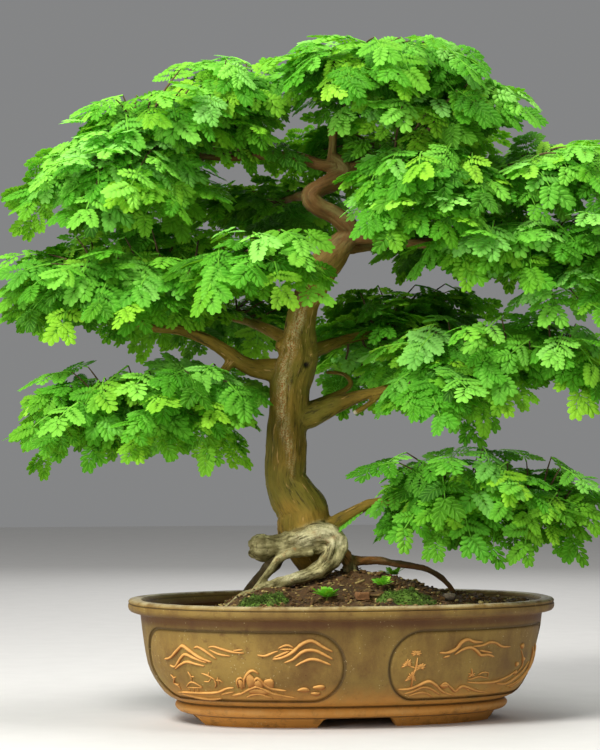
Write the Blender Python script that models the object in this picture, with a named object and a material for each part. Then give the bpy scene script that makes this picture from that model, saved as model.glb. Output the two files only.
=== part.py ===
"""Rain tree bonsai in an oval clay pot on a footed base.

Metres, +Z up. The pot's length runs along X and its panels face -Y and +Y. The origin is the
centre of the whole plant's box, on the surface that the pot's feet stand on.
"""

import math

import bmesh
import bpy
import numpy as np
from mathutils import Matrix

MM = 0.001

# Pot: a rounded oval, given by its rim; every level of the wall is an inset of the rim.
RIM_HALF_LENGTH = 267
RIM_HALF_DEPTH = 175
SQUARENESS = 2.3
RIM_TOP = 151
UNDERSIDE = 11.5
FLOOR = 24
POT_SEGMENTS = 48
OUTSIDE = [(67, UNDERSIDE), (66, 13), (58, 25), (56, 27), (46, 35), (32, 54), (24, 72.5)]
OUTSIDE += [(19.5, 97.5), (16.5, 120), (15, 133), (3, 137), (0, 141), (0, 147), (3, RIM_TOP)]
INSIDE = [(16, RIM_TOP), (18, 147), (27, 138), (29, 125), (32, 98), (37, 72), (50, 50)]
INSIDE += [(62, 34), (80, FLOOR)]

# Feet: a ring under the pot with a notch at the front, the back and both ends.
FOOT_OUTSIDE = [(79.5, 0), (72, 15)]
FOOT_WALL = 20
FRONT_NOTCH = (85, 106)
END_NOTCH = (60, 80)
DRAIN_RADIUS = 10
DRAIN_X = 80
MESH_SIDE = 40
MESH_THICKNESS = 1.6

# Soil: a low bed at the left end, a higher one to the right and a mound under the roots.
SOIL_GAP = 0.8
SOIL_LOW = 122
SOIL_STEP = (-190, -115, 22)
MOUND = (15, 5, 105, 80, 40)

# The tree's best side is turned from the pot's front by this angle, about the vertical.
TREE_TURN = math.radians(-10.5)
VOXEL = 3.0
CLEARANCE = 2.6
TRUNK_FACES = 3000
CUTTER_FACES = 2200
TUBE_SIDES = 12

# Wood, as routes of (across, back, up, radius) in the tree's own directions, in millimetres.
TRUNK = [(-44, 12, 140, 22), (-46, 6, 190, 27), (-47, 0, 222, 29), (-47, 0, 248, 32)]
TRUNK += [(-50, 0, 261, 31), (-63, 0, 281, 30), (-71, 0, 298, 27), (-71, 0, 315, 27)]
TRUNK += [(-70, 0, 342, 27), (-69, 0, 364, 26), (-66, 0, 395, 25), (-65, 0, 419, 26)]
TRUNK += [(-55, 0, 451, 24), (-54, 0, 467, 22), (-52, 0, 491, 18), (-45, 0, 522, 17)]
TRUNK += [(-36, 0, 540, 19), (-29, 0, 556, 21), (-4, 0, 588, 17), (9, 0, 604, 13)]
TRUNK += [(6, -2, 615, 14), (-9, -6, 628, 12), (-31, -12, 639, 12), (-40, -12, 650, 12)]
TRUNK += [(-30, -8, 661, 12), (-9, -2, 671, 12), (5, 0, 680, 11.5), (1, 0, 692, 10.5)]
TRUNK += [(-10, 0, 700, 8)]
LEADER = [(-12, 0, 700, 7), (-11, 0, 722, 5.5), (-10, 0, 738, 7), (4, 0, 765, 4), (14, 5, 800, 3)]
UPPER_LEFT = [(-9, 0, 691, 8), (-25, 0, 691, 8), (-51, 0, 700, 7), (-69, 0, 704, 6)]
UPPER_LEFT += [(-116, 0, 702, 5), (-140, 0, 700, 4.5), (-178, -5, 703, 4), (-215, -5, 718, 3.5)]
UPPER_LEFT += [(-265, -5, 745, 3)]
UPPER_RIGHT = [(5, 0, 676, 8), (22, 0, 680, 8), (37, -5, 685, 7), (66, -15, 686, 5)]
UPPER_RIGHT += [(110, -30, 682, 4.5), (160, -35, 676, 4), (215, -20, 690, 3.5), (262, 0, 702, 3)]
MIDDLE_LEFT = [(-46, 0, 552, 11), (-57, -8, 568, 9), (-78, -30, 573, 7), (-115, -60, 568, 6)]
MIDDLE_LEFT += [(-175, -50, 554, 5), (-240, -30, 545, 4), (-310, -20, 540, 3)]
LOWER_LEFT = [(-66, 0, 430, 17), (-90, 0, 435, 14), (-110, -5, 438, 12), (-128, -10, 445, 10)]
LOWER_LEFT += [(-155, -15, 465, 8), (-178, -20, 476, 7), (-203, -25, 484, 6), (-240, -30, 488, 5)]
LOWER_LEFT += [(-290, -30, 510, 4)]
DROOPING_LEFT = [(-135, -12, 450, 7), (-150, -22, 430, 6), (-178, -30, 405, 5.5)]
DROOPING_LEFT += [(-225, -35, 385, 4.5), (-290, -35, 378, 3)]
MIDDLE_RIGHT = [(-62, 0, 370, 18), (-30, 0, 382, 15), (-2, -2, 394, 11), (16, -5, 401, 8.5)]
MIDDLE_RIGHT += [(32, -8, 405, 7), (54, -10, 410, 6.3), (85, -15, 417, 5.5), (122, -20, 422, 5)]
MIDDLE_RIGHT += [(172, -25, 428, 4.5), (222, -25, 434, 4), (280, -20, 440, 3)]
LOWER_RIGHT = [(-24, -15, 232, 14), (-9, -15, 244, 10), (10, -15, 256, 7.5), (25, -15, 264, 6.5)]
LOWER_RIGHT += [(38, -15, 269, 6), (72, -15, 272, 5.5), (122, -15, 270, 5), (172, -20, 266, 4.5)]
LOWER_RIGHT += [(222, -20, 262, 4), (285, -20, 256, 3)]
BACK_UPPER = [(-38, 0, 649, 9), (-48, 25, 655, 7), (-65, 70, 655, 5), (-90, 120, 652, 4)]
BACK_CROWN = [(3, 0, 684, 7), (12, 30, 697, 6), (35, 75, 715, 5), (60, 130, 730, 3.5)]
BACK_RIGHT = [(-4, 0, 586, 9), (30, 30, 592, 7), (90, 80, 600, 5), (160, 130, 610, 4)]
BACK_LOWER = [(-56, 0, 448, 13), (-30, 35, 462, 9), (15, 80, 478, 6), (70, 125, 488, 4)]
BACK_LEFT = [(-55, 0, 462, 12), (-80, 40, 480, 8), (-115, 90, 498, 6), (-150, 135, 508, 4)]
RIGHT_SHOULDER = [(6, 0, 600, 9), (45, -10, 598, 7), (110, -15, 590, 5.5), (180, -15, 584, 4.5)]
RIGHT_SHOULDER += [(255, -10, 578, 3.5)]
ROOT_MASS = [(-108, -24, 215, 13), (-84, -24, 215, 11), (-58, -22, 220, 16), (-32, -20, 228, 20)]
ROOT_MASS += [(-12, -20, 222, 15), (-14, -24, 204, 13), (-25, -30, 190, 11), (-40, -36, 182, 8.5)]
ROOT_MASS += [(-65, -46, 175, 7.5), (-96, -58, 166, 7), (-124, -70, 154, 6.5), (-142, -78, 140, 6)]
ROOT_LOOP = [(-36, -34, 209, 5), (-65, -36, 206, 4.5), (-80, -38, 200, 4.5), (-88, -42, 189, 4.5)]
ROOT_LOOP += [(-98, -48, 177, 4.5), (-112, -54, 158, 4.5), (-122, -58, 140, 4)]
RIGHT_ROOT = [(-12, -14, 216, 10), (2, -6, 204, 8), (10, 0, 196, 8), (41, 6, 197, 5)]
RIGHT_ROOT += [(72, 10, 192, 4.5), (109, 14, 184, 4), (135, 18, 165, 3.5), (148, 22, 140, 3.5)]
STUMP = [(10, 0, 199, 8), (11, 0, 180, 8), (18, 2, 160, 7), (28, 4, 135, 7)]
BACK_ROOT_LEFT = [(-58, 12, 224, 15), (-84, 40, 196, 10), (-112, 66, 160, 7.5), (-130, 84, 136, 6)]
BACK_ROOT = [(-46, 14, 222, 15), (-34, 52, 196, 10), (-24, 84, 166, 8), (-18, 108, 140, 6)]
WOOD = [TRUNK, LEADER, UPPER_LEFT, UPPER_RIGHT, MIDDLE_LEFT, LOWER_LEFT, DROOPING_LEFT]
WOOD += [MIDDLE_RIGHT, LOWER_RIGHT, BACK_UPPER, BACK_CROWN, BACK_RIGHT, BACK_LOWER, BACK_LEFT]
WOOD += [RIGHT_SHOULDER, ROOT_MASS, ROOT_LOOP, RIGHT_ROOT, STUMP, BACK_ROOT_LEFT, BACK_ROOT]

# Foliage pads, as (name, centre, half sizes) in the tree's own directions, in millimetres.
PADS = [
    ("foliage_crown_top", (60, -20, 802), (146, 118, 58)),
    ("foliage_crown_left", (-223, 0, 770), (116, 110, 54)),
    ("foliage_crown_right", (272, 5, 708), (80, 115, 58)),
    ("foliage_crown_back", (60, 150, 728), (145, 82, 42)),
    ("foliage_upper_left", (-298, -5, 659), (120, 110, 58)),
    ("foliage_upper_back", (-95, 145, 652), (102, 82, 44)),
    ("foliage_upper_right", (95, -75, 668), (95, 88, 58)),
    ("foliage_shoulder_left", (-292, -8, 541), (122, 118, 62)),
    ("foliage_shoulder_front", (-112, -110, 560), (64, 66, 58)),
    ("foliage_shoulder_right", (260, -25, 582), (88, 108, 64)),
    ("foliage_shoulder_back", (160, 160, 615), (108, 78, 42)),
    ("foliage_middle_back", (75, 158, 490), (105, 74, 45)),
    ("foliage_middle_right", (195, -20, 438), (145, 112, 76)),
    ("foliage_middle_left_back", (-150, 155, 510), (100, 75, 42)),
    ("foliage_lower_left", (-250, -20, 378), (145, 115, 76)),
    ("foliage_lower_right", (192, -20, 264), (148, 100, 78)),
]
PAD_AROUND = 14
PAD_LEVELS = 7
UNDERSIDE_FLATTENING = 0.8

# Relief on the wall panels, as (name, start, end, lower edge, upper edge, arches), measured
# along the wall from the middle of the front and up from the feet.
RELIEFS = [
    ("ridge_left", -232, -128, 76, 100, 2),
    ("ridge_centre", -112, -42, 72, 104, 1),
    ("shore_left", -222, -126, 44, 70, 3),
    ("rocks", -118, -66, 42, 70, 1),
    ("maple", 44, 84, 48, 90, 2),
    ("ridge_right", 92, 190, 74, 101, 2),
    ("shore_right", 48, 160, 37, 46, 3),
    ("cliff", 208, 280, 52, 96, 1),
]
RELIEF_THICKNESS = 2.8
RELIEF_GAP = 1.2
RELIEF_STATIONS = 7
RELIEF_LEVELS = 4

# Ground cover, as (name, across, back, half length, half width, height) in the tree's directions.
GROUND_COVER = [
    ("moss_front_left", -98, -104, 34, 18, 6),
    ("moss_front_right", 78, -84, 40, 20, 7),
    ("moss_back", 72, 92, 46, 18, 7),
    ("weed_front", -20, -92, 18, 13, 14),
    ("weed_right", 48, -58, 14, 11, 12),
    ("weed_behind_stump", 66, 56, 14, 12, 26),
    ("stone_flat", 24, -88, 9, 6, 7),
    ("stone_left", -150, -84, 7, 6, 6),
    ("stone_right", 132, -52, 8, 7, 7),
]
COVER_GAP = 1.2
COVER_AROUND = 14
COVER_RINGS = 3

COLOURS = {
    "clay": ((0.17, 0.11, 0.05, 1), 0.55, 0),
    "relief_clay": ((0.5, 0.21, 0.06, 1), 0.6, 0),
    "soil": ((0.06, 0.035, 0.02, 1), 0.95, 0),
    "bark": ((0.21, 0.14, 0.06, 1), 0.8, 0),
    "leaves": ((0.06, 0.27, 0.03, 1), 0.5, 0),
    "moss": ((0.05, 0.13, 0.02, 1), 0.95, 0),
    "stone": ((0.28, 0.2, 0.14, 1), 0.85, 0),
    "mesh_plastic": ((0.02, 0.02, 0.02, 1), 0.6, 0),
}


def clear_scene():
    for obj in list(bpy.data.objects):
        bpy.data.objects.remove(obj)


def material(name):
    found = bpy.data.materials.get(name)
    if found:
        return found
    colour, roughness, metallic = COLOURS[name]
    made = bpy.data.materials.new(name)
    made.use_nodes = True
    shader = made.node_tree.nodes["Principled BSDF"]
    shader.inputs["Base Color"].default_value = colour
    shader.inputs["Roughness"].default_value = roughness
    shader.inputs["Metallic"].default_value = metallic
    made.diffuse_color = colour
    return made


def add_solid(name, points, faces, slot, smooth=True):
    """An object from points in millimetres, with its faces turned outward."""
    shape = bmesh.new()
    corners = [shape.verts.new(np.asarray(point, float) * MM) for point in points]
    for face in faces:
        shape.faces.new([corners[index] for index in face])
    bmesh.ops.recalc_face_normals(shape, faces=shape.faces)
    mesh = bpy.data.meshes.new(name)
    shape.to_mesh(mesh)
    shape.free()
    mesh.polygons.foreach_set("use_smooth", [smooth] * len(mesh.polygons))
    mesh.materials.append(material(slot))
    obj = bpy.data.objects.new(name, mesh)
    bpy.context.scene.collection.objects.link(obj)
    return obj


def bake_modifiers(obj):
    """Replace the object's mesh by the one its modifiers make."""
    graph = bpy.context.evaluated_depsgraph_get()
    mesh = bpy.data.meshes.new_from_object(obj.evaluated_get(graph))
    obj.modifiers.clear()
    obj.data = mesh


def combine(obj, tool, operation):
    """Join the tool to the object, or cut it away, and remove the tool."""
    modifier = obj.modifiers.new("combine", "BOOLEAN")
    modifier.operation = operation
    modifier.solver = "EXACT"
    modifier.object = tool
    bake_modifiers(obj)
    bpy.data.objects.remove(tool)


def cut_with(obj, tool):
    """Cut the tool away from the object and keep the tool."""
    modifier = obj.modifiers.new("cut", "BOOLEAN")
    modifier.operation = "DIFFERENCE"
    modifier.solver = "EXACT"
    modifier.object = tool
    bake_modifiers(obj)


def prism(name, outline, low, high, axis, slot="clay"):
    """A flat outline of (first, up) points pushed from low to high along the X or Y axis."""
    points = []
    for end in (low, high):
        points += [(a, end, z) if axis == "Y" else (end, a, z) for a, z in outline]
    count = len(outline)
    faces = [list(range(count)), list(range(2 * count - 1, count - 1, -1))]
    faces += [(i, (i + 1) % count, (i + 1) % count + count, i + count) for i in range(count)]
    return add_solid(name, points, faces, slot, smooth=False)


def drum(name, x, y, radius, low, high):
    """An upright cylinder."""
    count = 24
    turns = [2 * math.pi * i / count for i in range(count)]
    ring = [(x + radius * math.cos(a), y + radius * math.sin(a)) for a in turns]
    points = [(*p, low) for p in ring] + [(*p, high) for p in ring]
    faces = [list(range(count)), list(range(2 * count - 1, count - 1, -1))]
    faces += [(i, (i + 1) % count, (i + 1) % count + count, i + count) for i in range(count)]
    return add_solid(name, points, faces, "clay")


def oval_point(turn, inset):
    """The point of the rim's outline at this turn, moved in by the inset."""
    across, along = math.cos(turn), math.sin(turn)
    x = (RIM_HALF_LENGTH - inset) * math.copysign(abs(across) ** (2 / SQUARENESS), across)
    y = (RIM_HALF_DEPTH - inset) * math.copysign(abs(along) ** (2 / SQUARENESS), along)
    return x, y


def oval_ring(inset, height, count=POT_SEGMENTS):
    """The points of one level of the pot, evenly spread along its outline."""
    fine = [oval_point(2 * math.pi * i / 720, inset) for i in range(721)]
    steps = np.hypot(*np.diff(np.array(fine), axis=0).T)
    along = np.concatenate([[0], np.cumsum(steps)])
    wanted = np.linspace(0, along[-1], count, endpoint=False)
    xs = np.interp(wanted, along, [p[0] for p in fine])
    ys = np.interp(wanted, along, [p[1] for p in fine])
    return [(x, y, height(x, y) if callable(height) else height) for x, y in zip(xs, ys)]


def stack_rings(rings, closed_loop=False):
    """(points, faces) of a skin over rings of equal size, capped unless it closes on itself."""
    count = len(rings[0])
    points = [point for ring in rings for point in ring]
    pairs = list(zip(range(len(rings) - 1), range(1, len(rings))))
    pairs += [(len(rings) - 1, 0)] if closed_loop else []
    faces = []
    for low, high in pairs:
        for i in range(count):
            j = (i + 1) % count
            faces.append((low * count + i, low * count + j, high * count + j, high * count + i))
    if not closed_loop:
        faces.append(list(range(count)))
        faces.append([(len(rings) - 1) * count + i for i in range(count)])
    return points, faces


def build_pot():
    rings = [oval_ring(inset, z) for inset, z in OUTSIDE + INSIDE]
    pot = add_solid("pot", *stack_rings(rings), "clay")
    outer = [oval_ring(inset, z) for inset, z in FOOT_OUTSIDE]
    inner = [oval_ring(inset + FOOT_WALL, z) for inset, z in reversed(FOOT_OUTSIDE)]
    feet = add_solid("feet", *stack_rings(outer + inner, closed_loop=True), "clay")
    for (narrow, wide), axis in ((FRONT_NOTCH, "Y"), (END_NOTCH, "X")):
        below, above = -5, UNDERSIDE
        outline = [(-wide / 2, below), (wide / 2, below), (narrow / 2, above), (-narrow / 2, above)]
        outline = outline[:3] + [(narrow / 2, above + 8), (-narrow / 2, above + 8)] + outline[3:]
        combine(feet, prism("notch", outline, -300, 300, axis), "DIFFERENCE")
    combine(pot, feet, "UNION")
    for side in (-1, 1):
        combine(pot, drum("drain", side * DRAIN_X, 0, DRAIN_RADIUS, 5, 30), "DIFFERENCE")
    return pot


def box_outline(side, half, low, high):
    """The (x, z) corners of a flat box over the drain hole on this side."""
    left, right = side * DRAIN_X - half, side * DRAIN_X + half
    return [(left, low), (right, low), (right, high), (left, high)]


def build_drain_meshes():
    made = []
    for side, name in ((-1, "drain_mesh_left"), (1, "drain_mesh_right")):
        half = MESH_SIDE / 2
        low, high = FLOOR + 0.4, FLOOR + 0.4 + MESH_THICKNESS
        made.append(prism(name, box_outline(side, half, low, high), -half, half, "Y", "mesh_plastic"))
    return made


def soil_height(x, y):
    """The bed's height at a place given in the pot's directions."""
    across, back = tree_to_pot_turn(x, y, -1)
    start, end, rise = SOIL_STEP
    step = min(max((across - start) / (end - start), 0), 1)
    centre, depth, length, width, height = MOUND
    hump = math.exp(-(((across - centre) / length) ** 2) - ((back - depth) / width) ** 2)
    return SOIL_LOW + rise * step * step * (3 - 2 * step) + height * hump


def build_soil():
    levels = [(inset, z) for inset, z in INSIDE if z < SOIL_LOW - 5][::-1]
    levels[0] = (levels[0][0], FLOOR + 0.4)
    rings = [oval_ring(inset + SOIL_GAP, z) for inset, z in levels]
    edge = 29 + SOIL_GAP
    rings += [oval_ring(edge + inset, soil_height) for inset in (0, 18, 40, 64, 90, 118)]
    soil = add_solid("soil", *stack_rings(rings), "soil")
    for side in (-1, 1):
        half = MESH_SIDE / 2 + 0.5
        low, high = FLOOR - 2, FLOOR + MESH_THICKNESS + 1
        pocket = prism("pocket", box_outline(side, half, low, high), -half, half, "Y")
        combine(soil, pocket, "DIFFERENCE")
    return soil


def tree_to_pot_turn(across, back, way=1):
    """Turn a place from the tree's directions to the pot's, or back again with way -1."""
    c, s = math.cos(TREE_TURN * way), math.sin(TREE_TURN * way)
    return across * c - back * s, across * s + back * c


def route_points(route, grow=0.0):
    """The route resampled smoothly: (points in the pot's directions, radii)."""
    keys = np.array(route, float)
    span = np.concatenate([[0], np.cumsum(np.linalg.norm(np.diff(keys[:, :3], axis=0), axis=1))])
    count = max(4, int(span[-1] / 9))
    wanted = np.linspace(0, span[-1], count)
    columns = [np.interp(wanted, span, keys[:, i]) for i in range(4)]
    for column in columns:
        column[1:-1] = (column[:-2] + 2 * column[1:-1] + column[2:]) / 4
    points = np.array([(*tree_to_pot_turn(a, b), z) for a, b, z in zip(*columns[:3])])
    for end, inner in ((0, 1), (-1, -2)):
        outward = points[end] - points[inner]
        points[end] += outward / np.linalg.norm(outward) * grow
    return points, columns[3] + grow


def tube(points, radii):
    """(points, faces) of a round tube along a path, with closed ends."""
    rings, side = [], np.array([0.3, 0.9, 0.2])
    for i, (point, radius) in enumerate(zip(points, radii)):
        ahead = points[min(i + 1, len(points) - 1)] - points[max(i - 1, 0)]
        ahead /= np.linalg.norm(ahead)
        side = side - ahead * (side @ ahead)
        side /= np.linalg.norm(side)
        other = np.cross(ahead, side)
        turns = [2 * math.pi * k / TUBE_SIDES for k in range(TUBE_SIDES)]
        rings.append([point + radius * (math.cos(a) * side + math.sin(a) * other) for a in turns])
    return stack_rings(rings)


def join_wood(name, grow, face_count):
    """The trunk, its branches and its roots as one skin."""
    points, faces = [], []
    for route in WOOD:
        tube_points, tube_faces = tube(*route_points(route, grow))
        faces += [[index + len(points) for index in face] for face in tube_faces]
        points += tube_points
    wood = add_solid(name, points, faces, "bark")
    remesh = wood.modifiers.new("one skin", "REMESH")
    remesh.mode = "VOXEL"
    remesh.voxel_size = VOXEL * MM
    remesh.use_smooth_shade = True
    bake_modifiers(wood)
    thin = wood.modifiers.new("fewer faces", "DECIMATE")
    thin.ratio = face_count / sum(len(p.vertices) - 2 for p in wood.data.polygons)
    bake_modifiers(wood)
    if not wood.data.materials:
        wood.data.materials.append(material("bark"))
    return wood


def build_pad(name, centre, half, phase):
    """A soft lump, flatter below, with a wavy edge."""
    rows = []
    for level in range(1, PAD_LEVELS):
        up = math.pi * (0.5 - level / PAD_LEVELS)
        row = []
        for k in range(PAD_AROUND):
            turn = 2 * math.pi * k / PAD_AROUND
            swell = 1 + 0.05 * math.sin(3 * turn + phase) + 0.04 * math.cos(5 * turn + 2 * phase)
            across = half[0] * math.cos(up) * math.cos(turn) * swell
            back = half[1] * math.cos(up) * math.sin(turn) * swell
            lift = half[2] * math.sin(up) * (1 if up > 0 else UNDERSIDE_FLATTENING)
            row.append((*tree_to_pot_turn(centre[0] + across, centre[1] + back), centre[2] + lift))
        rows.append(row)
    points = [point for row in rows for point in row]
    top, bottom = len(points), len(points) + 1
    points.append((*tree_to_pot_turn(*centre[:2]), centre[2] + half[2]))
    points.append((*tree_to_pot_turn(*centre[:2]), centre[2] - half[2] * UNDERSIDE_FLATTENING))
    faces = []
    for row in range(len(rows) - 1):
        for k in range(PAD_AROUND):
            j = (k + 1) % PAD_AROUND
            a, b = row * PAD_AROUND, (row + 1) * PAD_AROUND
            faces.append((a + k, b + k, b + j, a + j))
    last = (len(rows) - 1) * PAD_AROUND
    for k in range(PAD_AROUND):
        j = (k + 1) % PAD_AROUND
        faces += [(top, k, j), (bottom, last + j, last + k)]
    return add_solid(name, points, faces, "leaves")


def wall_inset(height):
    return float(np.interp(height, [z for _, z in OUTSIDE], [inset for inset, _ in OUTSIDE]))


def wall_turns():
    """(distances, turns) along the wall at mid height, from the middle of the front."""
    turns = np.linspace(-1.5 * math.pi, 0.5 * math.pi, 1441)
    outline = np.array([oval_point(turn, wall_inset(80)) for turn in turns])
    along = np.concatenate([[0], np.cumsum(np.hypot(*np.diff(outline, axis=0).T))])
    return along - along[720], turns


def wall_point(distance, height, out, table=wall_turns()):
    """A point this far out from the wall, at a distance along it from the middle of the front."""
    turn = np.interp(distance, *table)
    inset = wall_inset(height)
    x, y = oval_point(turn, inset)
    before, after = oval_point(turn - 0.01, inset), oval_point(turn + 0.01, inset)
    ahead = np.array(after) - np.array(before)
    normal = np.array([ahead[1], -ahead[0]]) / np.linalg.norm(ahead)
    return x + normal[0] * out, y + normal[1] * out, height


def build_relief(name, start, end, low, high, arches, turned):
    """One low relief that follows the wall; turned puts it on the back of the pot."""
    sections = []
    for i in range(RELIEF_STATIONS):
        share = i / (RELIEF_STATIONS - 1)
        place = start + (end - start) * share
        crest = 0.7 + 0.3 * abs(math.sin(math.pi * arches * share))
        top = low + (high - low) * crest
        levels = np.linspace(low, top, RELIEF_LEVELS)
        corners = [(z, RELIEF_GAP) for z in levels] + [(z, RELIEF_THICKNESS) for z in levels[::-1]]
        points = [wall_point(place, z, out) for z, out in corners]
        sections.append([(-x, -y, z) for x, y, z in points] if turned else points)
    return add_solid(name, *stack_rings(sections), "relief_clay")


def build_cover(name, across, back, half_length, half_width, height):
    """A low dome that follows the soil under it."""
    slot = "stone" if name.startswith("stone") else "moss"
    lower, upper = [], []
    for ring in range(1, COVER_RINGS + 1):
        share = ring / COVER_RINGS
        for group, top in ((lower, False), (upper, True)):
            points = []
            for k in range(COVER_AROUND):
                turn = 2 * math.pi * k / COVER_AROUND
                a = across + half_length * share * math.cos(turn)
                b = back + half_width * share * math.sin(turn)
                x, y = tree_to_pot_turn(a, b)
                rise = height * (1 - share**2) + 1.5 if top else 0
                points.append((x, y, soil_height(x, y) + COVER_GAP + rise))
            group.append(points)
    return add_solid(name, *stack_rings(lower + upper[::-1]), slot)


def centre_on_origin(objects):
    """Move everything sideways, so that the origin is in the middle of the whole box."""
    corners = np.array([tuple(v.co) for obj in objects for v in obj.data.vertices])
    middle = (corners.min(axis=0) + corners.max(axis=0)) / 2
    for obj in objects:
        obj.data.transform(Matrix.Translation((-middle[0], -middle[1], 0)))


def main():
    clear_scene()
    made = [build_pot()] + build_drain_meshes()
    soil = build_soil()
    pads = [build_pad(*pad, phase=0.7 * i) for i, pad in enumerate(PADS)]
    cutter = join_wood("clearance", CLEARANCE, CUTTER_FACES)
    for obj in [soil] + pads:
        cut_with(obj, cutter)
    bpy.data.objects.remove(cutter)
    made += [soil, join_wood("trunk", 0.0, TRUNK_FACES)] + pads
    for side, turned in (("front", False), ("back", True)):
        for name, *sizes in RELIEFS:
            made.append(build_relief(f"relief_{side}_{name}", *sizes, turned))
    made += [build_cover(*cover) for cover in GROUND_COVER]
    centre_on_origin(made)


main()
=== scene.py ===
"""A rain tree bonsai in an oval clay pot with slip-trailed landscapes.

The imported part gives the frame. Each class below makes one sub-assembly around it: the pot, its
reliefs, the drain meshes, the soil and what grows on it, the wood, and the foliage.
"""

import logging
import math
import random
from collections.abc import Sequence
from dataclasses import dataclass, field
from enum import Enum
from typing import Any

import bmesh
import bpy
import numpy as np
from mathutils import Euler, Matrix, Vector, noise


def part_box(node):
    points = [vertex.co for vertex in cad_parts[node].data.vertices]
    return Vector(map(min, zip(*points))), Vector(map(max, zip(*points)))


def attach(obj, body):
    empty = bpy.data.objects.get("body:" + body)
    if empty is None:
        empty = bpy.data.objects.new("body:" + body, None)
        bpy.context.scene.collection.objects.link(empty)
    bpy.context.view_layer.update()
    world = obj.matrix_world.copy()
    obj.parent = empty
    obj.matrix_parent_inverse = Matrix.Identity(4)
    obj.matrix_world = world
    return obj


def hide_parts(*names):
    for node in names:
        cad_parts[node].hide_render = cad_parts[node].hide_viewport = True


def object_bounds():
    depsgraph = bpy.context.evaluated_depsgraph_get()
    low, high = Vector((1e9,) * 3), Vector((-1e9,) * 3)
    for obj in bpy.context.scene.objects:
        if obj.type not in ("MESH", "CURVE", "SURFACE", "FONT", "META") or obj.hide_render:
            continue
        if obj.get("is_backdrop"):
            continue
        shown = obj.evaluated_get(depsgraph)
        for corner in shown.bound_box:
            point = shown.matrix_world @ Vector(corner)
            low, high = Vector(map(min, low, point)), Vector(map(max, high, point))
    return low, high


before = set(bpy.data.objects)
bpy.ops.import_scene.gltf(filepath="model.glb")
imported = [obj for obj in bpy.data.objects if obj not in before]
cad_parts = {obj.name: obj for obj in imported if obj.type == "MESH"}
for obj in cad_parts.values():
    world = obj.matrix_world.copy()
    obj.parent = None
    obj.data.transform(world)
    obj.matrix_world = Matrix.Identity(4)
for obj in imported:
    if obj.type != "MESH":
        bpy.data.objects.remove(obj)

LOG = logging.getLogger("bonsai")
MM = 0.001
SEED = 41
GOLDEN_ANGLE = 2.39996
CELLS = 8  # rows and columns of the leaves' UV map
THROUGH = 0.3  # the share of light that thin leaves let through
Colour = tuple[float, float, float]
Rows = Sequence[Sequence[float]]
Inputs = dict[Any, Any] | None

# The pot's wall, as (inset from the rim's outline, height) in millimetres.
RIM_HALF_LENGTH, RIM_HALF_DEPTH, SQUARENESS = 267.0, 175.0, 2.3
BODY = [
    (67, 12.4), (62.5, 14), (59.6, 16.4), (58.2, 19), (58.2, 21.4), (59.4, 23.6), (61.6, 25.2), (62.4, 26.2),
    (61, 27.4), (56, 29), (50, 32), (44.6, 36.4), (38.6, 44), (32, 54), (27.4, 63), (24, 72.5), (21.4, 85),
    (19.5, 97.5), (17.9, 109), (16.5, 120), (15.4, 130)]
LIP = [
    (15, 132.6), (13.5, 134.2), (6, 135.2), (2.6, 136.4), (0.7, 138.6), (0, 141.4), (0.1, 144.6),
    (1.3, 145.6), (1.3, 146.2), (0.3, 147), (0.5, 148.8), (1.8, 150.3), (4, 151), (13.5, 151), (15.8, 150.4),
    (17.4, 148.6)]
INSIDE = [(20, 144.6), (27, 138), (28.4, 132), (29, 125), (32, 98), (37, 72), (50, 50), (62, 34), (80, 24)]
FOOT = [(79.5, 0.6), (78.9, 0), (94, 0), (95, 1), (95, 15), (72, 15), (72.4, 13), (74.6, 8), (77.6, 3.2)]
PANEL_DEPTH = 2.0

# Wood, as routes of (across, back, up, radius) in the tree's own directions, in millimetres.
TRUNK = [
    (-34, 24, 136, 11), (-38, 16, 185, 15), (-46, 5, 214, 25), (-47, 0, 232, 31), (-47, 0, 248, 33),
    (-50, 0, 261, 31), (-63, 0, 281, 30), (-71, 0, 298, 27), (-71, 0, 315, 27), (-70, 0, 342, 27),
    (-69, 0, 364, 26), (-66, 0, 395, 25), (-65, 0, 419, 26), (-55, 0, 451, 24), (-54, 0, 467, 22),
    (-52, 0, 491, 18), (-45, 0, 522, 17), (-36, 0, 540, 19), (-29, 0, 556, 21), (-4, 0, 588, 17),
    (9, 0, 604, 13), (6, -2, 615, 14), (-9, -6, 628, 12), (-31, -12, 639, 12), (-40, -12, 650, 12),
    (-30, -8, 661, 12), (-9, -2, 671, 12), (5, 0, 680, 11.5), (1, 0, 692, 10.5), (-10, 0, 700, 8)]
LEADER = [(-12, 0, 700, 7), (-11, 0, 722, 5.5), (-10, 0, 738, 7), (4, 0, 765, 4), (14, 5, 800, 3)]
UPPER_LEFT = [
    (-9, 0, 691, 8), (-25, 0, 691, 8), (-51, 0, 700, 7), (-69, 0, 704, 6), (-116, 0, 702, 5),
    (-140, 0, 700, 4.5), (-178, -5, 703, 4), (-215, -5, 718, 3.5), (-265, -5, 745, 3)]
UPPER_RIGHT = [
    (5, 0, 676, 8), (22, 0, 680, 8), (37, -5, 685, 7), (66, -15, 686, 5), (110, -30, 682, 4.5),
    (160, -35, 676, 4), (215, -20, 690, 3.5), (262, 0, 702, 3)]
MIDDLE_LEFT = [
    (-46, 0, 552, 11), (-57, -8, 568, 9), (-78, -30, 573, 7), (-115, -60, 568, 6), (-175, -50, 554, 5),
    (-240, -30, 545, 4), (-310, -20, 540, 3)]
LOWER_LEFT = [
    (-66, 0, 430, 17), (-90, 0, 435, 14), (-110, -5, 438, 12), (-128, -10, 445, 10), (-155, -15, 465, 8),
    (-178, -20, 476, 7), (-203, -25, 484, 6), (-240, -30, 488, 5), (-290, -30, 510, 4)]
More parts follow.
